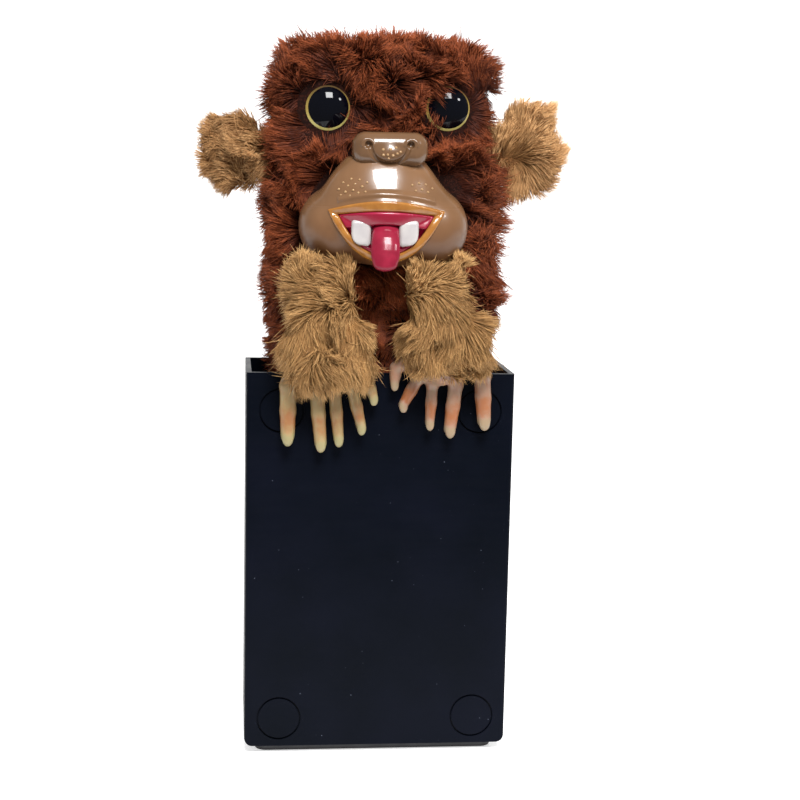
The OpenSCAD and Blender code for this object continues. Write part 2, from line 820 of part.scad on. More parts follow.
module arm_link(side) {
    color("dimgray") translate([side * arm_x, 0, 0]) difference() {
        union() {
            for (cheek = SIDES) scale([cheek, 1, 1]) rod_x(shoulder, 5, 2.2, 5.5);
            for (cheek = SIDES) scale([cheek, 1, 1])
                block([2.2, shoulder[0] - 3, shoulder[1] - 9], [5.5, shoulder[0] + 3, shoulder[1]]);
            block([-5.5, shoulder[0] - 3, shoulder[1] - 9], [5.5, shoulder[0] + 3, shoulder[1] - 5.2]);
            rod_z([0, shoulder[0]], 3, 134, shoulder[1] - 8);
        }
        rod_x(shoulder, shoulder_pin_r + run_gap, -6, 6);
    }
}

module sleeve(side) {
    half = 12.5;
    color([0.6, 0.42, 0.22]) translate([side * arm_x, 0, 0]) difference() {
        along_x(-half, half) {
            translate(shoulder) circle(10);
            translate([-37.5, 138]) square([15.7, 22]);
        }
        rod_x(shoulder, 6.5, -7, 7);
        block([-7, shoulder[0] - 4.2, 136], [7, shoulder[0] + 4.2, shoulder[1]]);
        block([-2.7, shoulder[0], shoulder[1] - 3.6], [2.7, -10, 175]);
    }
}

// Each finger: x and z where it leaves the palm, x and z of its tip's centre, radius.
left_fingers = [[-32, 131, -32, 114, 3.1], [-22.5, 131, -20.8, 111.5, 2.8], [-16.5, 131, -14.7, 113, 2.5],
                [-10.5, 131, -7, 117, 2.4], [-5.5, 134, -3, 127, 2.3]];
right_fingers = [[34, 135, 35, 119.5, 3.1], [25, 132, 23.3, 116.5, 2.8], [17, 132, 16.3, 118.5, 2.3],
                 [11.5, 133, 9.3, 124.5, 2.5], [4.4, 137.5, 4, 132, 2.2]];
finger_y = -24.8;

module hand(side, fingers) {
    wrist = [side * arm_x, shoulder[0]];
    color([0.8, 0.65, 0.45]) difference() {
        union() {
            hull() {
                for (i = [0, len(fingers) - 1]) translate([fingers[i][0] * 0.97, finger_y - 0.3, 133])
                    sphere(3, $fn = 16);
                rod_z(wrist, 4.5, 136, 137.5);
            }
            for (f = fingers) hull() {
                translate([f[0], finger_y, f[1]]) sphere(f[4], $fn = 16);
                translate([f[2], finger_y, f[3]]) sphere(f[4], $fn = 16);
            }
        }
        block([wrist[0] - 3.1, wrist[1] - 3.1, 133.8], [wrist[0] + 3.1, wrist[1] + 3.1, 138]);
    }
}

module left_arm_link() {
    arm_link(LEFT);
}

module right_arm_link() {
    arm_link(RIGHT);
}

module left_sleeve() {
    sleeve(LEFT);
}

module right_sleeve() {
    sleeve(RIGHT);
}

module left_hand() {
    hand(LEFT, left_fingers);
}

module right_hand() {
    hand(RIGHT, right_fingers);
}

front_shell();
back_cover();
base_plate();
corner_plugs();
case_screws();
base_screws();
front_movement_plate();
rear_movement_plate();
plate_pillars();
movement_screws();
click_stud();
great_wheel();
spring_barrel();
barrel_cover();
mainspring();
winding_arbor();
ratchet_wheel();
winding_key();
ratchet_click();
centre_wheel();
centre_pinion();
rack_pinion();
centre_arbor();
fly_pinion();
fly_arbor();
fly_wheel();
stop_slider();
lift_rack();
rack_screws();
carriage();
chassis_front();
chassis_back();
chassis_screws();
body_fur();
muzzle_shell();
muzzle_screws();
nose_piece();
lip_ring();
mouth_cup();
teeth();
tongue();
tongue_pin();
left_eye_lens();
left_eye_iris();
left_eye_pupil();
right_eye_lens();
right_eye_iris();
right_eye_pupil();
eye_washers();
left_ear();
right_ear();
left_shoulder_pin();
right_shoulder_pin();
left_arm_link();
left_sleeve();
left_hand();
right_arm_link();
right_sleeve();
right_hand();
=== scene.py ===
"""Looks of a pop-up plush monkey in a black box: long-pile fur, a glossy moulded face, soft vinyl
hands and a satin black box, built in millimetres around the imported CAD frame."""

from math import cos, pi, radians, sin, sqrt

import bpy
import numpy as np
from mathutils import Matrix, Vector
from mathutils.kdtree import KDTree


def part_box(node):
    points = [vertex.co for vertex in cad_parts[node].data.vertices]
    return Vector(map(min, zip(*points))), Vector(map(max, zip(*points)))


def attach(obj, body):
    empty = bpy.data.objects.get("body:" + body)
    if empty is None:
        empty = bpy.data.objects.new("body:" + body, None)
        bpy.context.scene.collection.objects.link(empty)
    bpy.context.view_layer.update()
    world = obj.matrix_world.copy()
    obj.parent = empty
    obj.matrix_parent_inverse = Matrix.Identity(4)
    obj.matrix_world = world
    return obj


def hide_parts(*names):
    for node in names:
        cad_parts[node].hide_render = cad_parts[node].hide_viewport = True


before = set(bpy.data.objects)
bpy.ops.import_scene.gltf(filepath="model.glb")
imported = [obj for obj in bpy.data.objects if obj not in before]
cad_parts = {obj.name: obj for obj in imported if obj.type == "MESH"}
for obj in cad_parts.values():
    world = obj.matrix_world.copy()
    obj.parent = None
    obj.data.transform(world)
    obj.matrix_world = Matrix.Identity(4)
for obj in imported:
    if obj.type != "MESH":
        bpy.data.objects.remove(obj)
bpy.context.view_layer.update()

MM = 0.001
LEFT, RIGHT = -1, 1
SIDES = {"left": LEFT, "right": RIGHT}


# ---- Numbers from the frame ----

def node_box(node):
    """The lowest and highest corner of a CAD node, in millimetres."""
    return [np.array(corner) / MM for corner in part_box(node)]


def node_centre(node):
    """The middle of a CAD node's box, in millimetres."""
    low, high = node_box(node)
    return (low + high) / 2


SHELL_LOW, SHELL_HIGH = node_box("front_shell")
BOX_FRONT, BOX_TOP = SHELL_LOW[1], SHELL_HIGH[2]
FACE_Y = node_box("muzzle_shell")[1][1]
NOSE_Z = node_centre("nose_piece")[2]
MOUTH_LOW, MOUTH_HIGH = node_box("lip_ring")
EYES = {name: node_centre(f"{name}_eye_iris") for name in SIDES}
EYE_LOW, EYE_HIGH = node_box("left_eye_iris")
EYE_R = (EYE_HIGH[2] - EYE_LOW[2]) / 2


# ---- Colours and materials ----

def linear(red, green, blue):
    """A colour given from 0 to 255 as it looks on a screen, as Blender's linear values."""
    def one(value):
        value /= 255
        return value / 12.92 if value <= 0.04045 else ((value + 0.055) / 1.055) ** 2.4
    return (one(red), one(green), one(blue), 1.0)


def new_material(name, colour, roughness=0.5, **sockets):
    """A Principled material and its shader node. sockets sets other inputs, with _ for a space."""
    material = bpy.data.materials.new(name)
    material.use_nodes = True
    shader = material.node_tree.nodes["Principled BSDF"]
    shader.inputs["Base Color"].default_value = colour
    shader.inputs["Roughness"].default_value = roughness
    for socket, value in sockets.items():
        shader.inputs[socket.replace("_", " ")].default_value = value
    return material


class Nodes:
    """Adds nodes to a material and links them to its shader."""

    def __init__(self, material):
        self.tree = material.node_tree
        self.shader = self.tree.nodes["Principled BSDF"]
        self.place = self.add("ShaderNodeTexCoord").outputs["Object"]

    def add(self, kind, **settings):
        node = self.tree.nodes.new(kind)
        for name, value in settings.items():
            setattr(node, name, value)
        return node

    def put(self, socket, value):
        """Links a socket to another node's output, or sets it to a plain value."""
        if isinstance(value, bpy.types.NodeSocket):
            self.tree.links.new(value, socket)
        else:
            socket.default_value = value

    def feed(self, node, **values):
        """Sets or links a node's inputs; a name's _ stands for a space."""
        for name, value in values.items():
            self.put(node.inputs[name.replace("_", " ")], value)
        return node

    def height(self):
        """The height of each point of the object, in metres."""
        return self.feed(self.add("ShaderNodeSeparateXYZ"), Vector=self.place).outputs["Z"]

    def combine(self, operation, *values):
        """The result of a Math node."""
        node = self.add("ShaderNodeMath", operation=operation)
        for socket, value in zip(node.inputs, values):
            self.put(socket, value)
        return node.outputs[0]

    def noise(self, scale, detail=4.0, roughness=0.5, place=None):
        node = self.feed(self.add("ShaderNodeTexNoise"), Vector=place or self.place, Scale=scale,
                         Detail=detail, Roughness=roughness)
        return node.outputs["Fac"]

    def stretched(self, x, y, z):
        """Object coordinates scaled along each axis, for streaks."""
        node = self.feed(self.add("ShaderNodeMapping"), Vector=self.place, Scale=(x, y, z))
        return node.outputs["Vector"]

    def cells(self, scale):
        """The distance to the nearest of many scattered points."""
        node = self.feed(self.add("ShaderNodeTexVoronoi"), Vector=self.place, Scale=scale)
        return node.outputs["Distance"]

    def ramp(self, value, stops):
        """A colour ramp through (position, colour) stops."""
        node = self.add("ShaderNodeValToRGB")
        elements = node.color_ramp.elements
        while len(elements) < len(stops):
            elements.new(0.5)
        for element, (position, colour) in zip(elements, stops):
            element.position = position
            element.color = colour
        self.tree.links.new(value, node.inputs["Fac"])
        return node.outputs["Color"]

    def fit(self, value, low, high, to_low=0.0, to_high=1.0, curve="LINEAR"):
        """A value moved from one range to another."""
        node = self.add("ShaderNodeMapRange", interpolation_type=curve)
        self.feed(node, Value=value, From_Min=low, From_Max=high, To_Min=to_low, To_Max=to_high)
        return node.outputs["Result"]

    def mix(self, share, first, second):
        """A colour between first, where share is 0, and second, where it is 1."""
        node = self.add("ShaderNodeMix", data_type="RGBA")
        for number, value in ((0, share), (6, first), (7, second)):
            self.put(node.inputs[number], value)
        return node.outputs[2]

    def colour(self, value):
        self.tree.links.new(value, self.shader.inputs["Base Color"])

    def roughness(self, value):
        self.tree.links.new(value, self.shader.inputs["Roughness"])

    def bump(self, height, distance_mm, strength=1.0):
        node = self.feed(self.add("ShaderNodeBump"), Height=height, Distance=distance_mm * MM,
                         Strength=strength)
        self.tree.links.new(node.outputs["Normal"], self.shader.inputs["Normal"])


def grey(value):
    return (value, value, value, 1.0)


def satin_black():
    """The box's moulded plastic: blue-black, finely grained, with dust specks and rubbed smudges."""
    material = new_material("box_satin_black", linear(9, 12, 22), 0.38, Specular_IOR_Level=0.05)
    nodes = Nodes(material)
    smudge = nodes.noise(38, detail=5)
    plastic = nodes.ramp(smudge, [(0.3, linear(4, 7, 14)), (0.7, linear(8, 11, 21))])
    dust = nodes.fit(nodes.cells(420), 0.035, 0.075, 1, 0)
    sparse = nodes.fit(nodes.noise(160, detail=2), 0.56, 0.66)
    nodes.colour(nodes.mix(nodes.combine("MULTIPLY", dust, sparse), plastic, linear(96, 102, 116)))
    scratch = nodes.noise(60, detail=6, roughness=0.7, place=nodes.stretched(1, 1, 14))
    nodes.roughness(nodes.fit(scratch, 0.3, 0.7, 0.3, 0.46))
    nodes.bump(nodes.noise(1500, detail=3), 0.03, 0.35)
    return material


def moulded(name, colour, roughness=0.5):
    """Plain moulded plastic with a fine grain and slightly uneven gloss."""
    material = new_material(name, colour, roughness)
    nodes = Nodes(material)
    nodes.roughness(nodes.fit(nodes.noise(120), 0.3, 0.7, roughness - 0.08, roughness + 0.08))
    nodes.bump(nodes.noise(1400, detail=2), 0.02, 0.5)
    return material


def metal(name, colour, roughness, streaks=(1, 1, 1)):
    """Metal with a brushed or turned finish; streaks stretches its grain along an axis."""
    material = new_material(name, colour, roughness, Metallic=1.0)
    nodes = Nodes(material)
    grain = nodes.noise(700, detail=5, roughness=0.7, place=nodes.stretched(*streaks))
    nodes.roughness(nodes.fit(grain, 0.25, 0.75, roughness * 0.6, roughness * 1.5))
    nodes.bump(grain, 0.01, 0.4)
    return material


def gloss_tan(name, depth=1.0):
    """The face's high-gloss plastic: milky tan with soft clouds and a clear top coat, less polished towards
    the chin and painted darker there as shade. depth scales the tan of its upper part."""
    material = new_material(name, linear(106, 80, 60), 0.22, Coat_Weight=0.35, Coat_Roughness=0.03,
                            Specular_IOR_Level=0.35)
    nodes = Nodes(material)
    cloud = nodes.noise(70, detail=3)
    height = nodes.height()
    upper = nodes.ramp(cloud, [(0.3, linear(102 * depth, 73 * depth, 48 * depth)),
                               (0.7, linear(120 * depth, 87 * depth, 60 * depth))])
    # Painted shade: the chin's colours are darker, standing in for the shade under the jowls.
    chin = nodes.ramp(cloud, [(0.3, linear(81, 49, 25)), (0.7, linear(95, 61, 34))])
    nodes.colour(nodes.mix(nodes.fit(height, 0.168, 0.198, curve="SMOOTHERSTEP"), chin, upper))
    polish = nodes.fit(height, 0.174, 0.202, curve="SMOOTHERSTEP")
    nodes.roughness(nodes.fit(polish, 0, 1, 0.42, 0.22))
    nodes.tree.links.new(nodes.fit(polish, 0, 1, 0.08, 0.35), nodes.shader.inputs["Coat Weight"])
    nodes.bump(nodes.noise(140, detail=2), 0.05, 0.12)
    return material


def gloss(name, light, dark, roughness=0.16, **sockets):
    """Glossy paint or vinyl between two near colours, slightly uneven."""
    material = new_material(name, light, roughness, Coat_Weight=0.15, Coat_Roughness=0.06, **sockets)
    nodes = Nodes(material)
    nodes.colour(nodes.ramp(nodes.noise(260, detail=3), [(0.3, dark), (0.7, light)]))
    nodes.bump(nodes.noise(520, detail=2), 0.03, 0.15)
    return material


def knitted(name, light, dark):
    """The woven backing that fur pile grows from."""
    material = new_material(name, light, 0.95, Specular_IOR_Level=0.1)
    nodes = Nodes(material)
    weave = nodes.cells(1100)
    nodes.colour(nodes.ramp(weave, [(0.1, light), (0.6, dark)]))
    nodes.bump(weave, 0.3, 0.6)
    return material


def vinyl_skin(name, flesh, knuckle, pale):
    """Soft vinyl hands: flesh with sprayed knuckles; the mesh's tint says where, from -1 to 1."""
    material = new_material(name, flesh, 0.42, Subsurface_Weight=0.12, Subsurface_Scale=0.002)
    nodes = Nodes(material)
    tint = nodes.add("ShaderNodeAttribute", attribute_name="tint").outputs["Fac"]
    blotch = nodes.noise(330, detail=4)
    mottled = nodes.combine("MULTIPLY_ADD", nodes.fit(blotch, 0.3, 0.7, -0.35, 0.35), 1.0, tint)
    share = nodes.fit(mottled, -1, 1)
    nodes.colour(nodes.ramp(share, [(0.12, pale), (0.5, flesh), (0.85, knuckle)]))
    nodes.bump(nodes.noise(800, detail=3), 0.06, 0.4)
    return material


def pile_shades(name, dark, light):
    """The shades of one fur's pile, from dark roots to light tips: painted shade deep in the pile and painted
    highlight at the tips.
    """
    shades = []
    for i in range(SHADES):
        share = i / (SHADES - 1)
        colour = linear(*[a + (b - a) * share for a, b in zip(dark, light)])
        shades.append(new_material(f"{name}_{i}", colour, 0.6, Specular_IOR_Level=0.2))
    return shades


# ---- Objects and meshes ----

def new_object(name, data):
    """An object in the scene for a mesh, a light or a camera."""
    obj = bpy.data.objects.new(name, data)
    bpy.context.scene.collection.objects.link(obj)
    return obj


def make_object(name, vertices_mm, faces, materials, face_materials=None):
    """A mesh object from points in millimetres. faces is a list of (faces, corners) index arrays."""
    mesh = bpy.data.meshes.new(name)
    sizes = np.concatenate([np.full(len(group), group.shape[1]) for group in faces])
    corners = np.concatenate([group.ravel() for group in faces])
    mesh.vertices.add(len(vertices_mm))
    mesh.vertices.foreach_set("co", (np.asarray(vertices_mm) * MM).astype(np.float32).ravel())
    mesh.loops.add(len(corners))
    mesh.loops.foreach_set("vertex_index", corners.astype(np.int32))
    mesh.polygons.add(len(sizes))
    mesh.polygons.foreach_set("loop_start", np.concatenate([[0], np.cumsum(sizes)[:-1]]).astype(np.int32))
    mesh.polygons.foreach_set("use_smooth", np.ones(len(sizes), bool))
    for material in materials:
        mesh.materials.append(material)
    if face_materials is not None:
        mesh.polygons.foreach_set("material_index", face_materials.astype(np.int32))
    mesh.update(calc_edges=True)
    return new_object(name, mesh)


def surface_net(field, low, high, step):
    """Points and quads of the surface where field is 0, by surface nets on a grid of the given step.
    Each point is then moved onto the surface along the field's slope."""
    low = np.array(low, float)
    counts = np.ceil((np.array(high) - low) / step).astype(int) + 1
    steps = [low[a] + step * np.arange(counts[a]) for a in range(3)]
    grid = np.stack(np.meshgrid(*steps, indexing="ij"), -1)
    values = field(grid)
    cell_ids, points, edges = [], [], []
    unit = np.eye(3, dtype=int)
    strides = np.array([(counts[1] - 1) * (counts[2] - 1), counts[2] - 1, 1])
    for a in range(3):
        b, c = (a + 1) % 3, (a + 2) % 3
        near, far = (values.take(range(k, counts[a] - 1 + k), a) for k in (0, 1))
        at = np.argwhere((near < 0) != (far < 0))
        first, second = near[tuple(at.T)], far[tuple(at.T)]
        crossing = at + unit[a] * (first / (first - second))[:, None]
        inside = (at[:, b] > 0) & (at[:, c] > 0) & (at[:, b] < counts[b] - 1) & (at[:, c] < counts[c] - 1)
        at, crossing, first = at[inside], crossing[inside], first[inside]
        ring = [(at - db * unit[b] - dc * unit[c]) @ strides for db, dc in ((0, 0), (1, 0), (1, 1), (0, 1))]
        ring = np.stack(ring, 1)
        edges.append(np.where((first < 0)[:, None], ring, ring[:, ::-1]))
        cell_ids.append(ring.T.ravel())
        points.append(np.tile(crossing, (4, 1)))
    cell_ids, points = np.concatenate(cell_ids), np.concatenate(points)
    cells, index = np.unique(cell_ids, return_inverse=True)
    index = index.ravel()
    total = np.bincount(index)
    vertices = np.stack([np.bincount(index, points[:, a]) / total for a in range(3)], 1) * step + low
    for _ in range(3):
        slope = gradient(field, vertices)
        move = field(vertices)[:, None] * slope / np.maximum((slope ** 2).sum(1), 0.05)[:, None]
        vertices -= np.clip(move, -step / 2, step / 2)
    return vertices, np.searchsorted(cells, np.concatenate(edges))


def gradient(field, points, reach=0.05):
    """How fast a field grows along each axis."""
    return np.stack([(field(points + reach * e) - field(points - reach * e)) / (2 * reach)
                     for e in np.eye(3)], -1)


# Distance fields. Each takes points of any shape (..., 3) in millimetres and is negative inside.

def egg(p, centre, radii):
    """An ellipsoid."""
    q = (p - np.array(centre)) / np.array(radii)
    k = np.linalg.norm(q, axis=-1)
    slope = np.linalg.norm(q / np.array(radii), axis=-1)
    return k * (k - 1) / np.maximum(slope, 1e-6)


def to_line(p, start, end):
    """How far along a line each point is, from 0 to 1, and its distance from the line."""
    along = end - start
    t = np.clip(((p - start) @ along) / (along @ along), 0, 1)
    return t, np.linalg.norm(p - start - t[..., None] * along, axis=-1)


def rod(p, start, end, r_start, r_end=None):
    """A capsule whose radius runs evenly from one end to the other."""
    r_end = r_start if r_end is None else r_end
    t, distance = to_line(p, np.array(start, float), np.array(end, float))
    return distance - (r_start + (r_end - r_start) * t)


def brick(p, centre, half, radius):
    """A box, or in two dimensions a rectangle, with rounded edges; half is its outer half size."""
    q = np.abs(p - np.array(centre)) - (np.array(half) - radius)
    return np.linalg.norm(np.maximum(q, 0), axis=-1) + np.minimum(q.max(-1), 0) - radius


def melt(a, b, k):
    """The union of two fields with a fillet of about k."""
    h = np.clip(0.5 + 0.5 * (b - a) / k, 0, 1)
    return b + (a - b) * h - k * h * (1 - h)


def carve(a, b, k):
    """Field a with b taken away, with an edge rounded by about k."""
    return -melt(-a, b, k)


def both(a, b, k):
    """What fields a and b have in common, with edges rounded by about k."""
    return -melt(-a, -b, k)


class Outline:
    """Distance to a line drawn in x and z, looked up from a fine grid. Inside a closed line it is
    negative."""

    STEP = 0.25

    def __init__(self, points, closed=True, margin=12):
        points = np.array(points, float)
        self.low = points.min(0) - margin
        counts = np.ceil((points.max(0) + margin - self.low) / self.STEP).astype(int) + 1
        x, z = np.meshgrid(*[self.low[a] + self.STEP * np.arange(counts[a]) for a in range(2)],
                           indexing="ij")
        grid = np.stack([x, z], -1)
        distance, inside = np.full(x.shape, np.inf), np.zeros(x.shape, bool)
        ends = np.roll(points, -1, 0)
        for a, b in list(zip(points, ends))[:len(points) if closed else -1]:
            distance = np.minimum(distance, to_line(grid, a, b)[1])
            if closed and a[1] != b[1]:
                crossing = (b[0] - a[0]) * (z - a[1]) / (b[1] - a[1]) + a[0]
                inside ^= ((a[1] > z) != (b[1] > z)) & (x < crossing)
        self.values = np.where(inside, -distance, distance)

    def __call__(self, p):
        at = (p[..., [0, 2]] - self.low) / self.STEP
        at = np.clip(at, 0, np.array(self.values.shape) - 1.001)
        i = at.astype(int)
        u, w = at[..., 0] - i[..., 0], at[..., 1] - i[..., 1]
        i, k = i[..., 0], i[..., 1]
        near = self.values[i, k] * (1 - u) + self.values[i + 1, k] * u
        far = self.values[i, k + 1] * (1 - u) + self.values[i + 1, k + 1] * u
        return near * (1 - w) + far * w


def vectors(x, y, z):
    """Points or directions from their parts, of which some may be plain numbers."""
    return np.stack(np.broadcast_arrays(x, y, z), -1)


def circle(count):
    """Points on a circle with a radius of 1, as two columns."""
    turns = np.linspace(0, 2 * pi, count, endpoint=False)
    return np.stack([np.cos(turns), np.sin(turns)], 1)


# ---- Long pile ----

LEVELS = np.array([0, 0.4, 0.75, 1.0])
SHADES = 8


def unit(v):
    """Vectors drawn out or in to a length of 1."""
    return v / np.maximum(np.linalg.norm(v, axis=-1, keepdims=True), 1e-9)


def waves(rng, wavelength, count=9):
    """Smooth noise with three components, as a function of points in millimetres."""
    ways = unit(rng.normal(size=(count, 3)))
    ways = ways * (2 * pi / (wavelength * rng.uniform(0.6, 1.6, count)))[:, None]
    phases = rng.uniform(0, 2 * pi, (count, 3))
    return lambda p: np.sin((p @ ways.T)[..., None] + phases).sum(-2) / sqrt(count / 2)


def scatter(vertices, quads, per_mm2, rng):
    """Random points on a mesh of quads, about per_mm2 of them on each square millimetre."""
    triangles = np.concatenate([quads[:, [0, 1, 2]], quads[:, [0, 2, 3]]])
    a, b, c = (vertices[triangles[:, k]] for k in range(3))
    area = np.linalg.norm(np.cross(b - a, c - a), axis=1) / 2
    count = int(area.sum() * per_mm2)
    chosen = rng.choice(len(area), count, p=area / area.sum())
    u, v = rng.random((2, count, 1))
    over = u + v > 1
    u, v = np.where(over, 1 - u, u), np.where(over, 1 - v, v)
    return a[chosen] + u * (b[chosen] - a[chosen]) + v * (c[chosen] - a[chosen])


def comb(roots, normals, lay, stand, length, rng, per_mm2, swirl=0.35, clump_gap=2.8, clump=0.65):
    """The centre lines of the pile and a tone for each strand. lay is the way the pile is brushed and
    stand how far it stands up, from 0 to 1. Strands gather towards leaders about clump_gap apart."""
    count = len(roots)
    flow = unit(lay - (lay * normals).sum(-1, keepdims=True) * normals)
    flyaway = rng.random(count) < 0.05
    wild = waves(rng, 11)(roots) * swirl
    wild += rng.normal(size=(count, 3)) * np.where(flyaway, 0.32, 0.1)[:, None]
    length = length * np.where(flyaway, 1.12, 1.0)
    stand = np.broadcast_to(stand, count)[:, None]
    first = unit(normals * stand + flow * (1 - stand) + wild * 0.5)
    last = unit(flow * 0.9 + normals * (stand - 0.35) + wild * 1.5)
    t = LEVELS[:, None]
    curve = first[:, None] * t + (last - first)[:, None] * t ** 2 / 2
    lines = roots[:, None] + curve * length[:, None, None]
    leaders = rng.choice(count, max(4, int(count / per_mm2 / clump_gap ** 2)), replace=False)
    tree = KDTree(len(leaders))
    for number, leader in enumerate(leaders):
        tree.insert(roots[leader], number)
    tree.balance()
    nearest = np.array([tree.find(root)[1] for root in roots])
    loose = np.where(flyaway, 0.0, np.where(rng.random(count) < 0.15, 0.25, 1.0))
    pull = clump * (loose * rng.uniform(0.5, 1.25, count))[:, None, None] * t ** 1.2
    lines += (lines[leaders[nearest]] - lines) * np.minimum(pull, 0.95)
    tone = rng.normal(0, 0.45, len(leaders))[nearest] + rng.normal(0, 0.5, count)
    return lines, tone + 0.35 * waves(rng, 26)(roots)[:, 0]


def pile_object(name, lines, tone, radius, shades, rng):
    """Strands as closed three-sided tubes that taper to a point, darker towards the root as painted shade and
    lighter at the tip as painted highlight.
    """
    count = len(lines)
    along = unit(lines[:, -1] - lines[:, 0])
    side = unit(np.cross(along, rng.normal(size=(count, 3))))
    other = np.cross(along, side)
    width = (radius * rng.uniform(0.75, 1.25, count))[:, None]
    points = []
    for level, share in enumerate((0.85, 1.0, 0.7)):
        for k in range(3):
            turn = 2 * pi * k / 3
            points.append(lines[:, level] + (side * cos(turn) + other * sin(turn)) * width * share)
    points = np.stack(points + [lines[:, 3]], 1).reshape(-1, 3)
    start = 10 * np.arange(count)[:, None, None]
    quads = [[3 * a + k, 3 * a + (k + 1) % 3, 3 * a + 3 + (k + 1) % 3, 3 * a + 3 + k]
             for a in (0, 1) for k in range(3)]
    corners = [[6, 7, 9], [7, 8, 9], [8, 6, 9], [2, 1, 0]]
    # Root faces take the darkest shades as painted shade, and tip faces the lightest as painted highlight.
    quad_level = np.array([0.14] * 3 + [0.46] * 3)
    corner_level = np.array([0.78] * 3 + [0.0])
    top = SHADES - 1
    shade = [np.clip((level + 0.16 * tone[:, None]) * top + rng.uniform(0, 1, (count, 1)), 0, top)
             for level in (quad_level, corner_level)]
    faces = [(start + np.array(group)).reshape(-1, len(group[0])) for group in (quads, corners)]
    return make_object(name, points, faces, shades, np.concatenate([s.astype(int).ravel() for s in shade]))


def show(piece, body, slot, *nodes):
    """A finished piece: the body it moves with and the CAD nodes it stands for, which are hidden. slot is not
    used.
    """
    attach(piece, body)
    if nodes:
        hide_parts(*nodes)


def fur_pad(name, weave, body, slot, node, field, low, high, step, per_mm2, rng):
    """The padded fabric on the surface of a field, in place of a CAD soft solid. Returns points on it
    and their slopes, for a pile to grow from."""
    vertices, quads = surface_net(field, low, high, step)
    pad = make_object(name, vertices, [quads], [weave])
    show(pad, body, slot, node)
    roots = scatter(vertices, quads, per_mm2, rng)
    return roots, unit(gradient(field, roots, 0.2))


# ---- The body: backing and brown pile ----

BROWN = pile_shades("brown_pile", (56, 21, 10), (162, 84, 46))
TAN = pile_shades("tan_pile", (130, 94, 54), (210, 166, 110))
EAR_TAN = pile_shades("ear_pile", (128, 90, 52), (216, 170, 118))

BODY_LOW, BODY_HIGH = node_box("body_fur")
SKIN_HALF = np.array([34.2, 15.2])
SKIN_TOP = BODY_HIGH[2] - 3.5
EYE_RIM = 8.9                           # inside this radius round an eye there is no pile
CROWN_R = 13                            # of the head's corners, seen from the front
PIECE_STRANDS = 12000                   # the most in one piece of pile
PACKED_Z = BOX_TOP + 22                 # below this the pile is kept in by the box
PACKED_HALF = np.array([40.9, 18.6])


def body_skin(p):
    """The fabric over the chassis: a flat-topped block with rounded corners."""
    middle = (0, 0, (SKIN_TOP + BODY_LOW[2]) / 2)
    half = np.array([SKIN_HALF[0], SKIN_HALF[1], (SKIN_TOP - BODY_LOW[2]) / 2])
    upright = brick(p, middle, half, 5.5)
    profile = brick(p[..., [0, 2]], (0, middle[2]), half[[0, 2]], CROWN_R)
    return both(upright, profile, 3)


def ring_points(centres, radius, count=48):
    """Points round circles with the given centres, in x and z."""
    return np.concatenate([np.array(centre) + radius * circle(count) for centre in centres])


def hull_outline(points):
    """The convex outline round points in x and z."""
    points = sorted(map(tuple, points))

    def half(run):
        chain = []
        for x, z in run:
            while len(chain) > 1 and ((chain[-1][0] - chain[-2][0]) * (z - chain[-2][1])
                                      - (chain[-1][1] - chain[-2][1]) * (x - chain[-2][0])) <= 0:
                chain.pop()
            chain.append((x, z))
        return chain[:-1]

    return half(points) + half(points[::-1])


JOWL_X, JOWL_Z, JOWL_R = 14.5, 186.5, 13.8
NOSE_END_X, NOSE_END_R = 6.9, 5.6
face_outline = Outline(hull_outline(np.concatenate([
    ring_points([(-JOWL_X, JOWL_Z), (JOWL_X, JOWL_Z)], JOWL_R),
    ring_points([(-NOSE_END_X, NOSE_Z), (NOSE_END_X, NOSE_Z)], NOSE_END_R)])), margin=20)


def body_lay(p):
    """The way the brown pile is brushed at each point."""
    x, y, z = p.T
    lay = vectors(1.1 * np.tanh((x + np.interp(z, [190, 215], [0, 5])) / 10), 0,
                  np.interp(z, [135, 172, 198, 216, 234, 242], [-1.0, -0.9, -0.45, -0.25, -0.15, 0.4]))
    lay += 0.3 * waves(np.random.default_rng(5), 24)(p) * np.clip((240 - z) / 8, 0.2, 1)[:, None]
    behind = np.clip(y / 8, 0, 1)[:, None]
    lay = lay * (1 - behind) + vectors(x / 50, 0.1, -0.9) * behind
    top = np.clip((z - SKIN_TOP + 6) / 5, 0, 1)[:, None]
    lay = lay * (1 - top) + vectors(x / 30 + 0.45, -0.35 + y / 30, 0.6) * top
    for side, eye in EYES.items():
        away = vectors(x - eye[0], 0, z - eye[2])
        distance = np.linalg.norm(away, axis=1, keepdims=True)
        inner = (np.abs(x) < abs(eye[0]) - 4) & (np.abs(z - eye[2]) < 9)
        strength = np.where(inner, 1.1 if side == "left" else 0.1, 1.6)[:, None]
        push = np.clip((17 - distance) / 5, 0, 1) * strength
        lay += unit(away) * push * (y < 0)[:, None]
    near = np.clip((9 - face_outline(p)) / 6, 0, 1)[:, None] * (y < 0)[:, None]
    lay += unit(vectors(x, 0, np.minimum(z - 192, 0))) * near * 1.2
    return lay


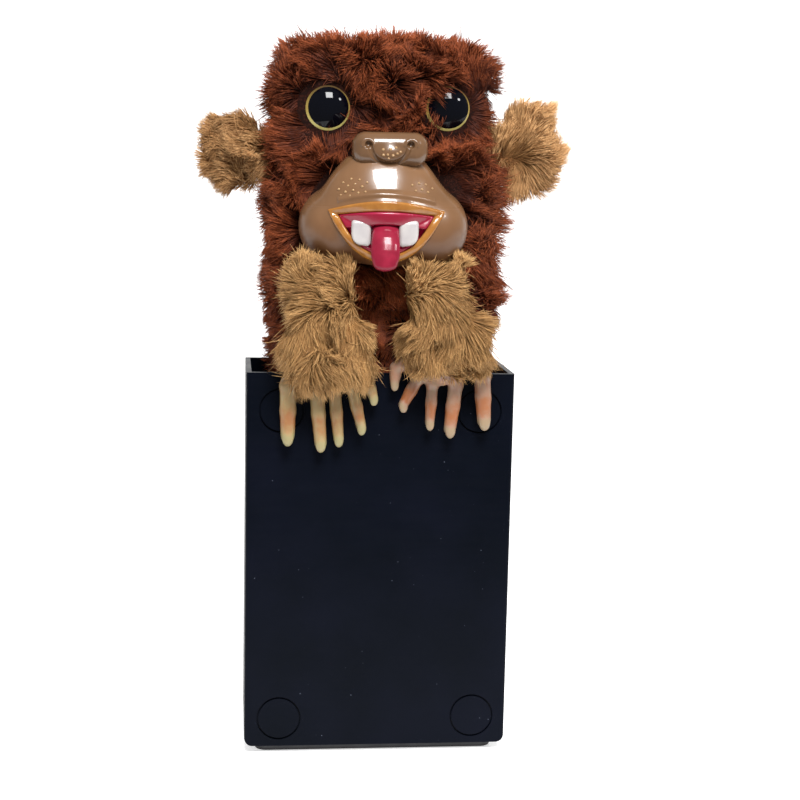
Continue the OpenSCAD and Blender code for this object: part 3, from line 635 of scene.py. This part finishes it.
def body_pile():
    """The brown skin: its backing, and its pile in pieces by zone and side."""
    rng = np.random.default_rng(7)
    margin = 2.0
    density = 7.0
    roots, normals = fur_pad(
        "body_backing", knitted("brown_backing", linear(46, 20, 13), linear(24, 10, 7)), "figure",
        "brown_fur", "body_fur", body_skin, (*-SKIN_HALF - margin, BODY_LOW[2] - margin),
        (*SKIN_HALF + margin, SKIN_TOP + margin), 1.5, density, rng)
    x, y, z = roots.T
    front = normals[:, 1] < -0.3
    keep = z > BODY_LOW[2] + 3
    keep &= ~((y < 0) & front & (face_outline(roots) < -0.5))
    for eye in EYES.values():
        keep &= ~((y < 0) & (np.hypot(x - eye[0], z - eye[2]) < EYE_RIM))
    share = np.select([z < BOX_TOP - 3, front & (z > 170), y > 3], [0.2, 1.0, 0.5], 0.75)
    keep &= rng.random(len(roots)) < share
    roots, normals = roots[keep], normals[keep]
    x, y, z = roots.T
    stand = np.interp(z, [135, 165, 190, 235, 242], [0.25, 0.38, 0.44, 0.5, 0.68])
    stand = np.where(normals[:, 1] < -0.5, stand - 0.1, stand)
    length = rng.uniform(7.5, 12.0, len(roots)) * np.where(z < PACKED_Z, 0.8, 1.0)
    length *= np.where(rng.random(len(roots)) < 0.08, 1.25, 1.0)
    near_eye = np.min([np.hypot(x - eye[0], z - eye[2]) for eye in EYES.values()], 0)
    length *= np.interp(near_eye, [8, 13], [0.75, 1.0])
    inside_right = (x > 6) & (x < EYES["right"][0] - 6) & (np.abs(z - EYES["right"][2] - 1) < 8)
    length = np.where(inside_right, rng.uniform(8, 11, len(roots)), length)
    flank_stand = stand + np.where(z > 200, -0.1, np.where(x > 0, 0.25, 0.1))
    stand = np.where(np.abs(normals[:, 0]) > 0.5, flank_stand, stand)
    length = np.where((normals[:, 0] > 0.5) & (z < 200), length * 1.35, length)
    stand = np.where(inside_right & (y < 0), 0.62, stand)
    bib = (y < 0) & (np.abs(x) < 10) & (z > 148) & (z < 176)     # bulges out between the arms
    stand = np.where(bib, 0.85, stand)
    length = np.where(bib, length * 1.35, length)
    lines, tone = comb(roots, normals, body_lay(roots), stand, length, rng, density * 0.8, swirl=0.62,
                       clump_gap=2.9, clump=0.42)
    # Painted light: the bib's pile is made lighter upwards, against the shade that the muzzle and sleeves
    # cast on it.
    tone += np.where(bib, np.interp(z, [153, 166], [0.0, 3.4]), 0)
    radius = np.where(share[keep] < 0.9, 0.16, 0.125)
    packed = lines[..., 2] < PACKED_Z
    for axis in (0, 1):
        half = PACKED_HALF[axis]
        lines[..., axis] = np.where(packed, np.clip(lines[..., axis], -half, half), lines[..., axis])
    zones = {"crown": z > 232, "brow": (y < 0) & (z > 217), "cheeks": (y < 0) & (z > 188),
             "chest": (y < 0) & (z > BOX_TOP), "nape": z > 205, "back": z > 165,
             "waist": z > BOX_TOP, "hem": z > 0}
    left = np.ones(len(roots), bool)
    for zone, where in zones.items():
        where = where & left
        left &= ~where
        halves = {"left": where & (x < 0), "right": where & (x >= 0)}
        for side, chosen in halves.items():
            for part in range(1 + int(chosen.sum() / PIECE_STRANDS)):
                some = np.flatnonzero(chosen)[part * PIECE_STRANDS:(part + 1) * PIECE_STRANDS]
                piece = pile_object(f"body_pile_{zone}_{side}_{part + 1}", lines[some], tone[some],
                                    radius[some], BROWN, rng)
                show(piece, "figure", "brown_fur")


# ---- Ears and sleeves: tan pile ----

EAR_DISCS = {"left": (-49.0, -2.5, 209.0), "right": (50.5, -2.5, 211.5)}
EAR_HEIGHTS = {"left": 10.5, "right": 11.5}
EAR_LAYS = {"left": (-2.2, 0, 0), "right": (0.9, 0, 0.35)}


def ear(name):
    """An ear: a flat pad on a short root, with a pile brushed outwards from its middle."""
    side = SIDES[name]
    rng = np.random.default_rng(21 + side)
    disc = np.array(EAR_DISCS[name])

    def field(p):
        round_pad = egg(p, disc, (8.5, 3.4, EAR_HEIGHTS[name]))
        return melt(round_pad, rod(p, disc, (side * 34, -1, 207), 4.6), 3)

    density = 9.0
    weave = knitted(f"{name}_ear_backing", linear(140, 96, 58), linear(92, 58, 32))
    roots, normals = fur_pad(f"{name}_ear_pad", weave, "figure", "tan_fur", f"{name}_ear", field,
                             disc - [17, 6, 14], disc + [17, 6, 14], 0.8, density, rng)
    radial = (roots - disc) / 9
    radial[:, 1] = 0
    radial += EAR_LAYS[name]
    keep = np.abs(roots[:, 0]) > 36
    roots, normals, radial = roots[keep], normals[keep], radial[keep]
    length = rng.uniform(7.0, 10.5, len(roots)) * (1.15 if side > 0 else 1.0)
    lines, tone = comb(roots, normals, radial, 0.33, length, rng, density, swirl=0.4, clump_gap=2.6,
                       clump=0.4)
    show(pile_object(f"{name}_ear_pile", lines, tone, 0.13, EAR_TAN, rng), "figure", "tan_fur")


# Each sleeve's three puffs from the top down: middle, and half the width.
PUFFS = {
    "left": [((-21.5, -29.6, 165.0), 9.0), ((-20.8, -29.7, 156.5), 8.6), ((-18.6, -29.8, 145.0), 12.4)],
    "right": [((16.5, -29.6, 165.0), 9.2), ((18.9, -29.7, 158.0), 8.2), ((20.0, -29.8, 146.8), 13.2)]}
PUFF_HALF_HEIGHTS = (7.0, 7.0, 9.2)
PUFF_HALF_DEPTH = 6.6
UPPER_Z = 159                           # where a sleeve's upper puff begins
UPPER_DARKER = {"left": 0.7, "right": 0.35}


def sleeve(name):
    """A sleeve: three soft puffs, whose pile is brushed outwards above and down below."""
    side = SIDES[name]
    rng = np.random.default_rng(31 + side)
    puffs = PUFFS[name]
    x = puffs[1][0][0]

    def field(p):
        parts = [brick(p, middle, (half, PUFF_HALF_DEPTH, height), 5.8)
                 for (middle, half), height in zip(puffs, PUFF_HALF_HEIGHTS)]
        return melt(parts[0], melt(parts[1], parts[2], 4.0), 2.5)

    density = 7.0
    centre = np.array([x, -29.7, 155.0])
    weave = knitted(f"{name}_sleeve_backing", linear(142, 100, 58), linear(95, 62, 32))
    roots, normals = fur_pad(f"{name}_sleeve_pad", weave, f"{name}_arm", "tan_fur", f"{name}_sleeve",
                             field, centre - [18, 10, 22], centre + [18, 10, 22], 1.0, density, rng)
    height = roots[:, 2]
    is_upper = height > UPPER_Z
    spread = np.interp(height, [152, 160], [0, 1])
    lay = vectors((roots[:, 0] - x) / 20 * (1 - spread) + 0.8 * side * spread, 0,
                  np.interp(height, [152, 157, 161, 165, 170], [-1.0, -0.8, -0.35, 0.15, 0.9]))
    lay += 0.15 * waves(rng, 18)(roots)
    stand = np.where(is_upper, 0.36, 0.27)
    back = normals[:, 1] > 0.4
    length = rng.uniform(8.0, 12.5, len(roots)) * np.where(is_upper, 0.8, 1.0) * np.where(back, 0.5, 1)
    length *= np.where(~is_upper & (height < 146) & (side > 0), 0.75, 1.0)
    inner = (side * (roots[:, 0] - x) < -5) & (height > 143) & (height < 157)
    length *= np.where(inner, np.interp(height, [146, 152], [0.85, 0.6]), 1.0)
    keep = ~(back & (rng.random(len(roots)) < 0.4))
    roots, normals, lay, stand, length, is_upper = (
        values[keep] for values in (roots, normals, lay, stand, length, is_upper))
    lines, tone = comb(roots, normals, lay, stand, length, rng, density, swirl=0.3, clump_gap=2.8, clump=0.45)
    # The pile stays in front of the box's wall, the chest and the shoulders.
    behind_it = np.where(lines[..., 2] < BOX_TOP + 1, BOX_FRONT - 0.5, -19.5)
    behind_it = np.where(lines[..., 2] > UPPER_Z, -22.5, behind_it)
    lines[..., 1] = np.minimum(lines[..., 1], behind_it)
    tone -= np.where(is_upper, UPPER_DARKER[name], 0)
    for zone, chosen in {"upper": is_upper, "lower": ~is_upper}.items():
        show(pile_object(f"{name}_sleeve_pile_{zone}", lines[chosen], tone[chosen], 0.14, TAN, rng),
             f"{name}_arm", "tan_fur")


# ---- Muzzle, nose and mouth ----

MOUTH_HALF_W = MOUTH_HIGH[0]
MOUTH_TOP, MOUTH_BOTTOM = MOUTH_HIGH[2], MOUTH_LOW[2]
MOUTH_CORNER = MOUTH_TOP - 3.2


def mouth_points(inset, top_inset):
    """The mouth's outline, drawn in by inset at its sides and bottom and by top_inset at its top."""
    half = MOUTH_HALF_W - 1.6 * inset
    top, bottom = MOUTH_TOP - top_inset, MOUTH_BOTTOM + 1.2 * inset
    corner = MOUTH_CORNER - max(0.7 * inset, top_inset - 2)
    under = [(half * u, bottom + (corner - bottom) * abs(u) ** 2.3) for u in np.linspace(-1, 1, 41)]
    over = [(half * u, corner + (top - corner) * cos(pi / 2 * u))
            for u in np.linspace(1, -1, 41)[1:-1]]
    return under + over


mouth_rim = Outline(mouth_points(0, 0))
lip_edge = Outline(mouth_points(2.3, 3.6))
gum_edge = Outline(mouth_points(3.8, 8.0))


def muzzle_skin(p):
    """The muzzle without its mouth: two jowls, a chin and an upper lip."""
    sides = [rod(p, (x, -24.3, 185), (x, FACE_Y + 4, 185), 13.5) for x in (-15.9, 13.6)]
    jowl = melt(*sides, 2)
    front = egg(p, (0, -27, 186), (17, 16.5, 14.5))
    tilt, turn = radians(24), radians(5)
    x, _, z = np.moveaxis(p, -1, 0)
    across, back, up = np.moveaxis(p - np.array([-1.2, -28.9, 196.9]), -1, 0)
    forth = back * cos(turn) - across * sin(turn)
    leaning = vectors(across * cos(turn) + back * sin(turn), forth * cos(tilt) - up * sin(tilt),
                      up * cos(tilt) + forth * sin(tilt))
    flank = (np.abs(x + 1.2) + 0.9 * (z - 205) - 15.0) / 1.345
    lip = both(both(egg(leaning, (0, 0, 0), (20, 10, 20)), flank, 4), z - 208, 1)
    form = melt(melt(jowl, front, 4), lip, 3.5)
    fold = np.hypot(mouth_rim(p) - 2.3, form) - 0.45
    return melt(form, np.where((z > MOUTH_CORNER) & (np.abs(x) < 16), fold, 3.0), 1.2)


def muzzle_field(p):
    """The muzzle, flat at the back, with the mouth cut into it."""
    solid = both(muzzle_skin(p), p[..., 1] - FACE_Y, 0.5)
    hole = both(mouth_rim(p) + 0.8, p[..., 1] + 25, 0.5)
    return carve(solid, hole, 0.8)


def lip_field(p):
    """The painted rim round the mouth, a little proud of the muzzle."""
    d = mouth_rim(p)
    ring = both(d, -lip_edge(p), 0.5)
    raised = muzzle_skin(p) - 0.9 - np.where(p[..., 2] > MOUTH_CORNER - 2, 0.6, 0.35) * d
    return both(both(ring, raised, 1.0), -(muzzle_skin(p) + 6), 0.3)


def cup_field(p):
    """The mouth's lining: a floor at the back, and a wall that shows as gums above and below."""
    d = lip_edge(p)
    floor = both(d, np.abs(p[..., 1] + 25.2) - 0.8, 0.2)
    wall = both(d, -(gum_edge(p) + 0.05 * (p[..., 1] + 36)), 0.4)
    wall = both(wall, muzzle_skin(p) + 0.6 - 0.45 * d, 0.6)
    return np.minimum(floor, both(wall, p[..., 1] + 25, 0.3))


NOSE_X = 0.7                            # how far the nose stands to the right


def nose_field(p):
    """The nose: a flattened barrel with a round tip, nostrils and a U-shaped groove between them."""
    p = p - np.array([NOSE_X, 0, 0])
    x, y, z = np.moveaxis(p, -1, 0)
    q = vectors(np.maximum(np.abs(x) - 7.9, 0), np.minimum(y + 32.5, 0),
                np.maximum(np.abs(z - NOSE_Z) - 1.0, 0))
    barrel = np.linalg.norm(q, axis=-1) - 4.55
    barrel = melt(barrel, egg(p, (0, -35.0, NOSE_Z - 1.7), (4.9, 2.9, 3.3)), 1.2)
    groove = np.hypot(nose_groove(p), barrel) - 0.75
    barrel = carve(barrel, np.where(y < -33, groove, np.abs(barrel) + 5), 0.4)
    for side in (LEFT, RIGHT):
        halo = np.abs(np.hypot(x - side * 7.2, z - (NOSE_Z + 1.3)) - 2.0)
        halo = np.hypot(halo, barrel) - 0.25
        barrel = melt(barrel, np.where(z > NOSE_Z + 1.3 - 0.6, halo, 5.0), 0.5)
        hole = rod(p, (side * 7.1, -37.3, NOSE_Z + 1.3), (side * 6.9, -36.3, NOSE_Z + 1.5), 1.05)
        barrel = carve(barrel, hole, 0.5)
    return both(barrel, y - (FACE_Y - 1.8), 0.2)


def groove_point(turn):
    """A point of the groove, which is deep below the nostrils and turns in a little above them."""
    depth = 5.4 if cos(turn) > 0 else 1.2
    return 6.2 * sin(turn), NOSE_Z + 0.9 - depth * cos(turn)


nose_groove = Outline([groove_point(turn) for turn in np.linspace(-1.75, 1.75, 41)], closed=False)


def front_point(field, x, z):
    """Where a line from the front along y meets a field's surface."""
    y = np.linspace(-52.0, -14.0, 800)
    values = field(vectors(x, y, z))
    return np.array([x, y[np.argmax(values < 0)], z])


def turned_faces(count, rings):
    """The quads between rings of count points each, and the corners that close the first and the last
    ring with the two tips that follow the rings."""
    k = np.arange(count)
    after = (k + 1) % count
    last = count * (rings - 1)
    start = np.arange(0, last, count)[:, None]
    quads = np.stack([start + k, start + after, start + count + after, start + count + k], -1)
    tip = last + count
    caps = [vectors(tip, after, k), vectors(last + k, last + after, tip + 1)]
    return quads.reshape(-1, 4), np.concatenate(caps)


def dots(name, field, places, radius, material):
    """Low round drops of paint on a surface. places has each one's x, z and relative size."""
    count = 10
    points, faces = [], []
    for x, z, size in places:
        spot = front_point(field, x, z)
        out = unit(gradient(field, spot[None], 0.1))[0]
        side = unit(np.cross(out, (0, 0.1, 1)))
        rim = circle(count) @ [side, np.cross(out, side)] * radius * size
        faces.append([group + len(points) for group in turned_faces(count, 3)])
        for height, width in ((-0.15, 1.0), (0.1, 0.95), (0.24, 0.6)):
            points += list(spot + out * height * size * 1.4 + rim * width)
        points += [spot - out * 0.2, spot + out * 0.3 * size * 1.4]
    return make_object(name, np.array(points), [np.concatenate(group) for group in zip(*faces)], [material])


# Where the freckles are: x, z and relative size.
FRECKLES = [
    (-15.6, 197.2, 1.0), (-14.2, 199.4, 0.9), (-13.4, 196.4, 1.1), (-12.6, 198.4, 0.9), (-11.6, 200.6, 1.0),
    (-10.9, 197.0, 1.0), (-10.3, 199.0, 0.8), (-9.2, 196.2, 1.0), (-8.9, 200.4, 0.9), (-8.0, 198.2, 1.1),
    (-6.9, 196.6, 0.9), (-6.4, 199.6, 0.9), (-14.9, 195.4, 0.8), (-11.9, 195.3, 0.8),
    (8.2, 199.0, 1.0), (9.4, 197.2, 0.9), (10.4, 199.6, 1.0), (11.4, 197.6, 1.1), (12.6, 199.2, 0.9),
    (13.4, 196.8, 1.0), (14.8, 198.0, 0.9)]
NOSE_FRECKLES = [
    (-1.4, 210.2, 1.0), (1.0, 210.3, 1.1), (2.7, 210.9, 1.0), (4.2, 209.6, 0.9), (3.2, 209.0, 0.9),
    (1.8, 208.4, 1.0), (0.1, 208.6, 0.9), (-1.3, 208.5, 1.0), (0.4, 207.4, 0.8)]
TURN_AT = Matrix.Translation((0, -27 * MM, 0))
FACE_TURN = TURN_AT @ Matrix.Rotation(radians(-6), 4, "Z") @ TURN_AT.inverted()


def show_face(piece, body, slot, *nodes):
    """A piece of the face, which is sewn on turned a little towards -x."""
    piece.data.transform(FACE_TURN)
    show(piece, body, slot, *nodes)


def mould(name, field, low, high, step, material, slot, node, body="figure"):
    """A piece of the face with the surface of a field."""
    vertices, quads = surface_net(field, low, high, step)
    show_face(make_object(name, vertices, [quads], [material]), body, slot, node)


def face():
    """The glossy muzzle, nose and lips, the mouth's lining, the freckles, the teeth and the tongue."""
    # Painted light: the lining glows a little to lift its shade, and is painted darker below as the shade
    # behind the teeth.
    magenta = new_material("mouth_magenta_painted_light", linear(176, 38, 78), 0.25, Coat_Weight=0.15, Coat_Roughness=0.06,
                           Emission_Color=linear(150, 12, 48), Emission_Strength=0.2)
    nodes = Nodes(magenta)
    nodes.colour(nodes.ramp(nodes.fit(nodes.height(), 0.188, 0.194),
                            [(0.2, linear(122, 12, 38)), (0.75, linear(200, 56, 102))]))

    def tooth_field(p):
        x, y, z = np.abs(p[..., 0] + 0.35), p[..., 1], p[..., 2]
        block = brick(vectors(x, y, z), (7.8, -38.2, 183.3), (3.3, 2.0, 4.3), 1.4)
        corner = np.hypot(x - 6.4, np.minimum(z - 183.8, 0)) - 4.9
        return both(block, np.where(x > 6.4, corner, -2), 0.8)

    bend = np.linspace(0, pi / 2, 10)
    arch = np.stack([-34.5 - 9.5 * np.sin(bend), 173.4 + 12.2 * np.cos(bend)], 1)
    path = np.concatenate([[(-29.5, 184.4)], arch])

    def tongue_field(p):
        flat = p[..., 1:]
        thick = 2.1
        best, half = np.full(p.shape[:-1], np.inf), np.full(p.shape[:-1], 4.2)
        for i, (a, b) in enumerate(zip(path[:-1], path[1:])):
            t, distance = to_line(flat, a, b)
            tip = np.clip((i + t + 2 - len(bend)) / 2, 0, 1)
            width = (4.2 + 0.5 * np.clip((i + t - 3) / 4, 0, 1)) * np.sqrt(1 - 0.31 * tip ** 2)
            half = np.where(distance < best, width, half)
            best = np.minimum(distance, best)
        across = np.abs(p[..., 0])
        return (np.sqrt((across / half) ** 2 + (best / thick) ** 2) - 1) * thick

    mould("muzzle", muzzle_field, (-31, -48, 169), (31, -10, 210), 0.45, gloss_tan("face_tan"),
          "muzzle_plastic", "muzzle_shell")
    mould("nose", nose_field, (-14, -40, 203), (14, -13, 218), 0.3, gloss_tan("nose_tan", 0.86),
          "nose_plastic", "nose_piece")
    mould("lips", lip_field, (-21, -48, 171), (21, -22, 196), 0.35,
          gloss("lip_orange", linear(160, 108, 48), linear(138, 86, 33)), "lip_paint", "lip_ring")
    mould("mouth_lining", cup_field, (-21, -46, 171), (21, -23, 196), 0.4, magenta,
          "mouth_plastic", "mouth_cup")
    gold = new_material("freckle_gold", linear(156, 122, 82), 0.4, Coat_Weight=0.2)
    show_face(dots("muzzle_freckles", muzzle_field, FRECKLES, 0.45, gold), "figure", "muzzle_plastic")
    show_face(dots("nose_freckles", nose_field, NOSE_FRECKLES, 0.5, gold), "figure", "nose_plastic")
    mould("teeth_pair", tooth_field, (-12.5, -41.5, 178), (12.5, -35.5, 190), 0.35,
          gloss("tooth_white", linear(182, 177, 174), linear(168, 163, 163), 0.12), "tooth_plastic", "teeth")
    tongue_red = gloss("tongue_red", linear(136, 30, 52), linear(118, 22, 42), 0.22, Specular_IOR_Level=0.2)
    mould("tongue_soft", tongue_field, (-6, -47.5, 170), (6, -26, 187), 0.35, tongue_red,
          "tongue_rubber", "tongue", "tongue")


# ---- Eyes ----

EYE_SHIFT = {"left": (1.0, 0.3, -0.3), "right": (0.7, 0.3, 0.4)}
# RIM marks the dark band round the dome, a painted shadow of the fur round the socket.
PUPIL, IRIS, RIM = 0, 1, 2
# The rings of an eye's dome: radius, extra depth and what the band inside the ring shows.
EYE_RINGS = [(1.5, 0, PUPIL), (3.0, 0, PUPIL), (4.5, 0, PUPIL), (6.8, 0, PUPIL), (6.95, 0, IRIS),
             (7.3, 0, IRIS), (7.6, 0, IRIS), (7.7, 0, RIM), (8.2, 0, RIM), (8.6, 0, RIM),
             (8.75, 0.5, RIM), (8.5, 3.5, RIM)]


def eye(name, pupil_black, iris_gold, painted_shadow_rim):
    """A clear-coated dome: black pupil, a thin gold ring and a dark rim painted as the shadow of the fur
    round it.
    """
    centre = EYES[name] + EYE_SHIFT[name]
    count = 72
    shift = np.array([0.3, 0.25])       # of the pupil within the gold ring
    ball_r = 11.5
    front_y = centre[1] - 4.0
    points = []
    for radius, deeper, _ in EYE_RINGS:
        keep = 1 - np.clip((radius - 6.5) / 1.3, 0, 1)
        x, z = (radius * circle(count) + shift * keep).T
        depth = ball_r - np.sqrt(ball_r ** 2 - radius ** 2) + deeper
        points.append(vectors(x + centre[0], front_y + depth, z + centre[2]))
    tips = [[centre[0] + shift[0], front_y, centre[2] + shift[1]], [centre[0], points[-1][0][1], centre[2]]]
    shade = np.repeat([material for _, _, material in EYE_RINGS[1:]], count)
    shade = np.concatenate([shade, np.full(count, PUPIL), np.full(count, RIM)])
    dome = make_object(f"{name}_eye", np.concatenate(points + [tips]), turned_faces(count, len(EYE_RINGS)),
                       [pupil_black, iris_gold, painted_shadow_rim], shade)
    show(dome, "figure", "pupil_black", *[f"{name}_eye_{part}" for part in ("lens", "iris", "pupil")])


def iris_paint():
    """Gold paint that is bright below and dark above, as the light from above leaves it."""
    material = new_material("iris_paint", linear(128, 110, 58), 0.2, Specular_IOR_Level=0.3)
    nodes = Nodes(material)
    middle, reach = EYES["left"][2] * MM, EYE_R * MM
    nodes.colour(nodes.ramp(nodes.fit(nodes.height(), middle - reach, middle + reach),
                            [(0.1, linear(196, 186, 112)), (0.45, linear(150, 128, 66)),
                             (0.9, linear(74, 58, 34))]))
    return material


def eyes():
    pupil = new_material("pupil_gloss", linear(3, 4, 10), 0.04, Specular_IOR_Level=0.2)
    ring = iris_paint()
    # The rim's near-black is painted shadow.
    rim = new_material("eye_rim_painted_shadow", linear(20, 11, 9), 0.25, Specular_IOR_Level=0.25)
    for name in SIDES:
        eye(name, pupil, ring, rim)


# ---- Hands ----

# Each finger: x and z where it leaves the palm, x and z of its tip's centre, radius.
FINGERS = {
    "left": [(-32, 131, -32, 114, 3.1), (-22.5, 131, -20.8, 111.5, 2.8), (-16.5, 131, -14.7, 113, 2.5),
             (-10.5, 131, -7, 117, 2.4), (-5.5, 134, -3, 127, 2.3)],
    "right": [(34, 135, 35, 119.5, 3.1), (25, 132, 23.3, 116.5, 2.8), (17, 132, 16.3, 118.5, 2.3),
              (12, 134, 7.1, 124.8, 2.4), (4.4, 137.5, 4, 132, 2.2)]}
FINGER_Y = -24.8
# The vinyl's flesh, its sprayed knuckles and its pale nails, and how much spray each finger has.
VINYL = {"left": [(150, 126, 86), (146, 98, 58), (142, 132, 94)],
         "right": [(146, 114, 94), (146, 90, 54), (142, 122, 96)]}
BLUSH = {"left": (0.7, 0.45, 0.25, 0.4, 0.2), "right": (0.85, 0.8, 0.6, 0.9, 0.15)}


def hand(name, material):
    """A hand that hangs over the box's front wall: a palm and five fingers melted into each other."""
    side = SIDES[name]
    wrist = np.array([side * 19.5, -28.0, 138.0])
    fingers = FINGERS[name]

    def bones():
        for x0, z0, x1, z1, r in fingers:
            yield np.array([x0, FINGER_Y, z0]), np.array([x1, FINGER_Y, z1]), r

    def field(p):
        total = rod(p, wrist, wrist - (0, 0, 1.5), 4.6)
        for root, _, r in bones():
            knuckle = wrist * 0.25 + root * 0.75 + (0, 0, 2.0)
            total = melt(total, rod(p, knuckle, root, 2.9, r * 0.95), 2.5)
        for root, tip, r in bones():
            t, distance = to_line(p, root, tip)
            bulge = 0.22 * np.exp(-((t - 0.5) * np.linalg.norm(tip - root) / 1.7) ** 2) - 0.4 * t ** 2
            finger = distance - (r - 0.35 + bulge)
            nail = egg(p, tip + (0, -0.5 * r, -0.15 * r), (r * 0.62, r * 0.42, r * 0.95))
            total = melt(total, melt(finger, nail, 0.5), 0.8)
        return total

    reach = [finger[k] for finger in fingers for k in (0, 2)]
    vertices, quads = surface_net(field, (min(reach) - 6, -34, 106), (max(reach) + 6, -19, 145), 0.4)
    tint = np.zeros(len(vertices))
    for (root, tip, r), strength in zip(bones(), BLUSH[name]):
        along = tip - root
        size = np.linalg.norm(along)
        t = ((vertices - root) @ along) / size ** 2
        across = np.linalg.norm(vertices - root - np.clip(t, -0.3, 1.3)[:, None] * along, axis=1)
        mine = np.clip((r + 1.2 - across) / 0.6, 0, 1)
        knuckle = np.exp(-((t - 0.66) * size / 3.2) ** 2)
        nail = np.clip((t - 1) * size / 1.5 + 1.0, 0, 1)
        tint += mine * (strength * knuckle - nail)
    obj = make_object(f"{name}_hand_skin", vertices, [quads], [material])
    attribute = obj.data.attributes.new("tint", "FLOAT", "POINT")
    attribute.data.foreach_set("value", np.clip(tint, -1, 1).astype(np.float32))
    show(obj, f"{name}_arm", "hand_rubber", f"{name}_hand")


# ---- CAD nodes that keep their shape ----

def finish_cad_nodes():
    """Materials on the nodes that show as they were packed, and soft edges on the outside ones."""
    steel = metal("zinc_steel", (0.62, 0.62, 0.64, 1), 0.3)
    turned = metal("turned_steel", (0.58, 0.58, 0.6, 1), 0.26, (1, 8, 1))
    sheet_brass = metal("sheet_brass", (0.78, 0.6, 0.28, 1), 0.3, (6, 1, 1))
    gear_brass = metal("gear_brass_cut", (0.82, 0.65, 0.32, 1), 0.24)
    frame_plastic = moulded("frame_moulding", linear(120, 112, 106), 0.5)
    finishes = {
        satin_black(): "front_shell back_cover corner_plugs",
        moulded("base_moulding", linear(34, 34, 38), 0.5): "base_plate",
        steel: "case_screws base_screws movement_screws rack_screws chassis_screws muzzle_screws "
               "left_shoulder_pin right_shoulder_pin tongue_pin eye_washers",
        turned: "plate_pillars click_stud winding_arbor ratchet_click centre_pinion rack_pinion "
                "centre_arbor fly_pinion fly_arbor",
        sheet_brass: "front_movement_plate rear_movement_plate barrel_cover",
        gear_brass: "great_wheel spring_barrel ratchet_wheel centre_wheel fly_wheel",
        metal("blued_spring", (0.1, 0.13, 0.22, 1), 0.3, (1, 1, 10)): "mainspring",
        metal("nickel_key", (0.75, 0.75, 0.77, 1), 0.16): "winding_key",
        moulded("stop_red", linear(176, 40, 34), 0.3): "stop_slider",
        moulded("rack_acetal", linear(222, 220, 214), 0.4): "lift_rack",
        frame_plastic: "carriage chassis_front chassis_back",
        moulded("link_moulding", linear(66, 44, 30), 0.6): "left_arm_link right_arm_link",
    }
    for material, names in finishes.items():
        for name in names.split():
            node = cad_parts[name]
            node.data.materials.clear()
            node.data.materials.append(material)
    for name in ("front_shell", "back_cover", "base_plate", "winding_key", "stop_slider", "corner_plugs"):
        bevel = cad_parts[name].modifiers.new("soft_edges", "BEVEL")
        bevel.width = 0.35 * MM
        bevel.segments = 2
        bevel.limit_method = "ANGLE"
        bevel.angle_limit = radians(40)


# ---- Camera, floor and light ----

CAMERA_AT = (-51.6, -559.1, 207.1)      # in millimetres
CAMERA_TURN = (0.149026, 0.107368, 0.020847)


def camera():
    """A long lens in front of the toy, a little to its left and above its middle."""
    data = bpy.data.cameras.new("camera")
    data.lens, data.sensor_width = 72, 36
    pitch, yaw, roll = CAMERA_TURN
    forward = Vector((sin(yaw) * cos(pitch), cos(yaw) * cos(pitch), -sin(pitch)))
    level = Vector((cos(yaw), -sin(yaw), 0))
    over = level.cross(forward)
    right = level * cos(roll) + over * sin(roll)
    up = over * cos(roll) - level * sin(roll)
    obj = new_object("camera", data)
    turn = Matrix((right, up, -forward)).transposed().to_4x4()
    obj.matrix_world = Matrix.Translation(Vector(CAMERA_AT) * MM) @ turn
    bpy.context.scene.camera = obj


def softbox(name, azimuth, elevation, distance, size, watts, target=(0, -30, 190)):
    """A square light looking at target; azimuth goes from the front towards +x, in degrees."""
    data = bpy.data.lights.new(name, "AREA")
    data.shape, data.size, data.energy = "SQUARE", size, watts
    a, e = radians(azimuth), radians(elevation)
    way = Vector((sin(a) * cos(e), -cos(a) * cos(e), sin(e)))
    obj = new_object(name, data)
    obj.location = Vector(target) * MM + way * distance
    obj.rotation_euler = way.to_track_quat("Z", "Y").to_euler()


def studio():
    """A white floor and back wall, even light from all round and two soft boxes."""
    mesh = bpy.data.meshes.new("floor")
    side, front, back, height = 3.0, -0.22, 1.4, 2.5
    edges = ((front, 0), (back, 0), (back, height))
    mesh.from_pydata([(x, y, z) for y, z in edges for x in (-side, side)], [], [(0, 1, 3, 2), (2, 3, 5, 4)])
    paper = new_material("floor_white", grey(0.85), 0.8, Emission_Color=grey(1), Emission_Strength=0.6)
    mesh.materials.append(paper)
    new_object("floor", mesh)
    world = bpy.data.worlds.new("world")
    bpy.context.scene.world = world
    world.use_nodes = True
    sky = world.node_tree.nodes["Background"]
    sky.inputs["Color"].default_value = grey(1)
    sky.inputs["Strength"].default_value = 0.32
    softbox("main_light", 5, 47, 1.2, 0.46, 28)
    softbox("side_light", 50, 31, 1.2, 0.16, 3.5)
    bpy.context.scene.view_settings.view_transform = "Standard"


camera()
studio()
finish_cad_nodes()
body_pile()
for name in SIDES:
    ear(name)
    sleeve(name)
face()
eyes()
for name in SIDES:
    hand(name, vinyl_skin(f"{name}_hand_vinyl", *[linear(*colour) for colour in VINYL[name]]))
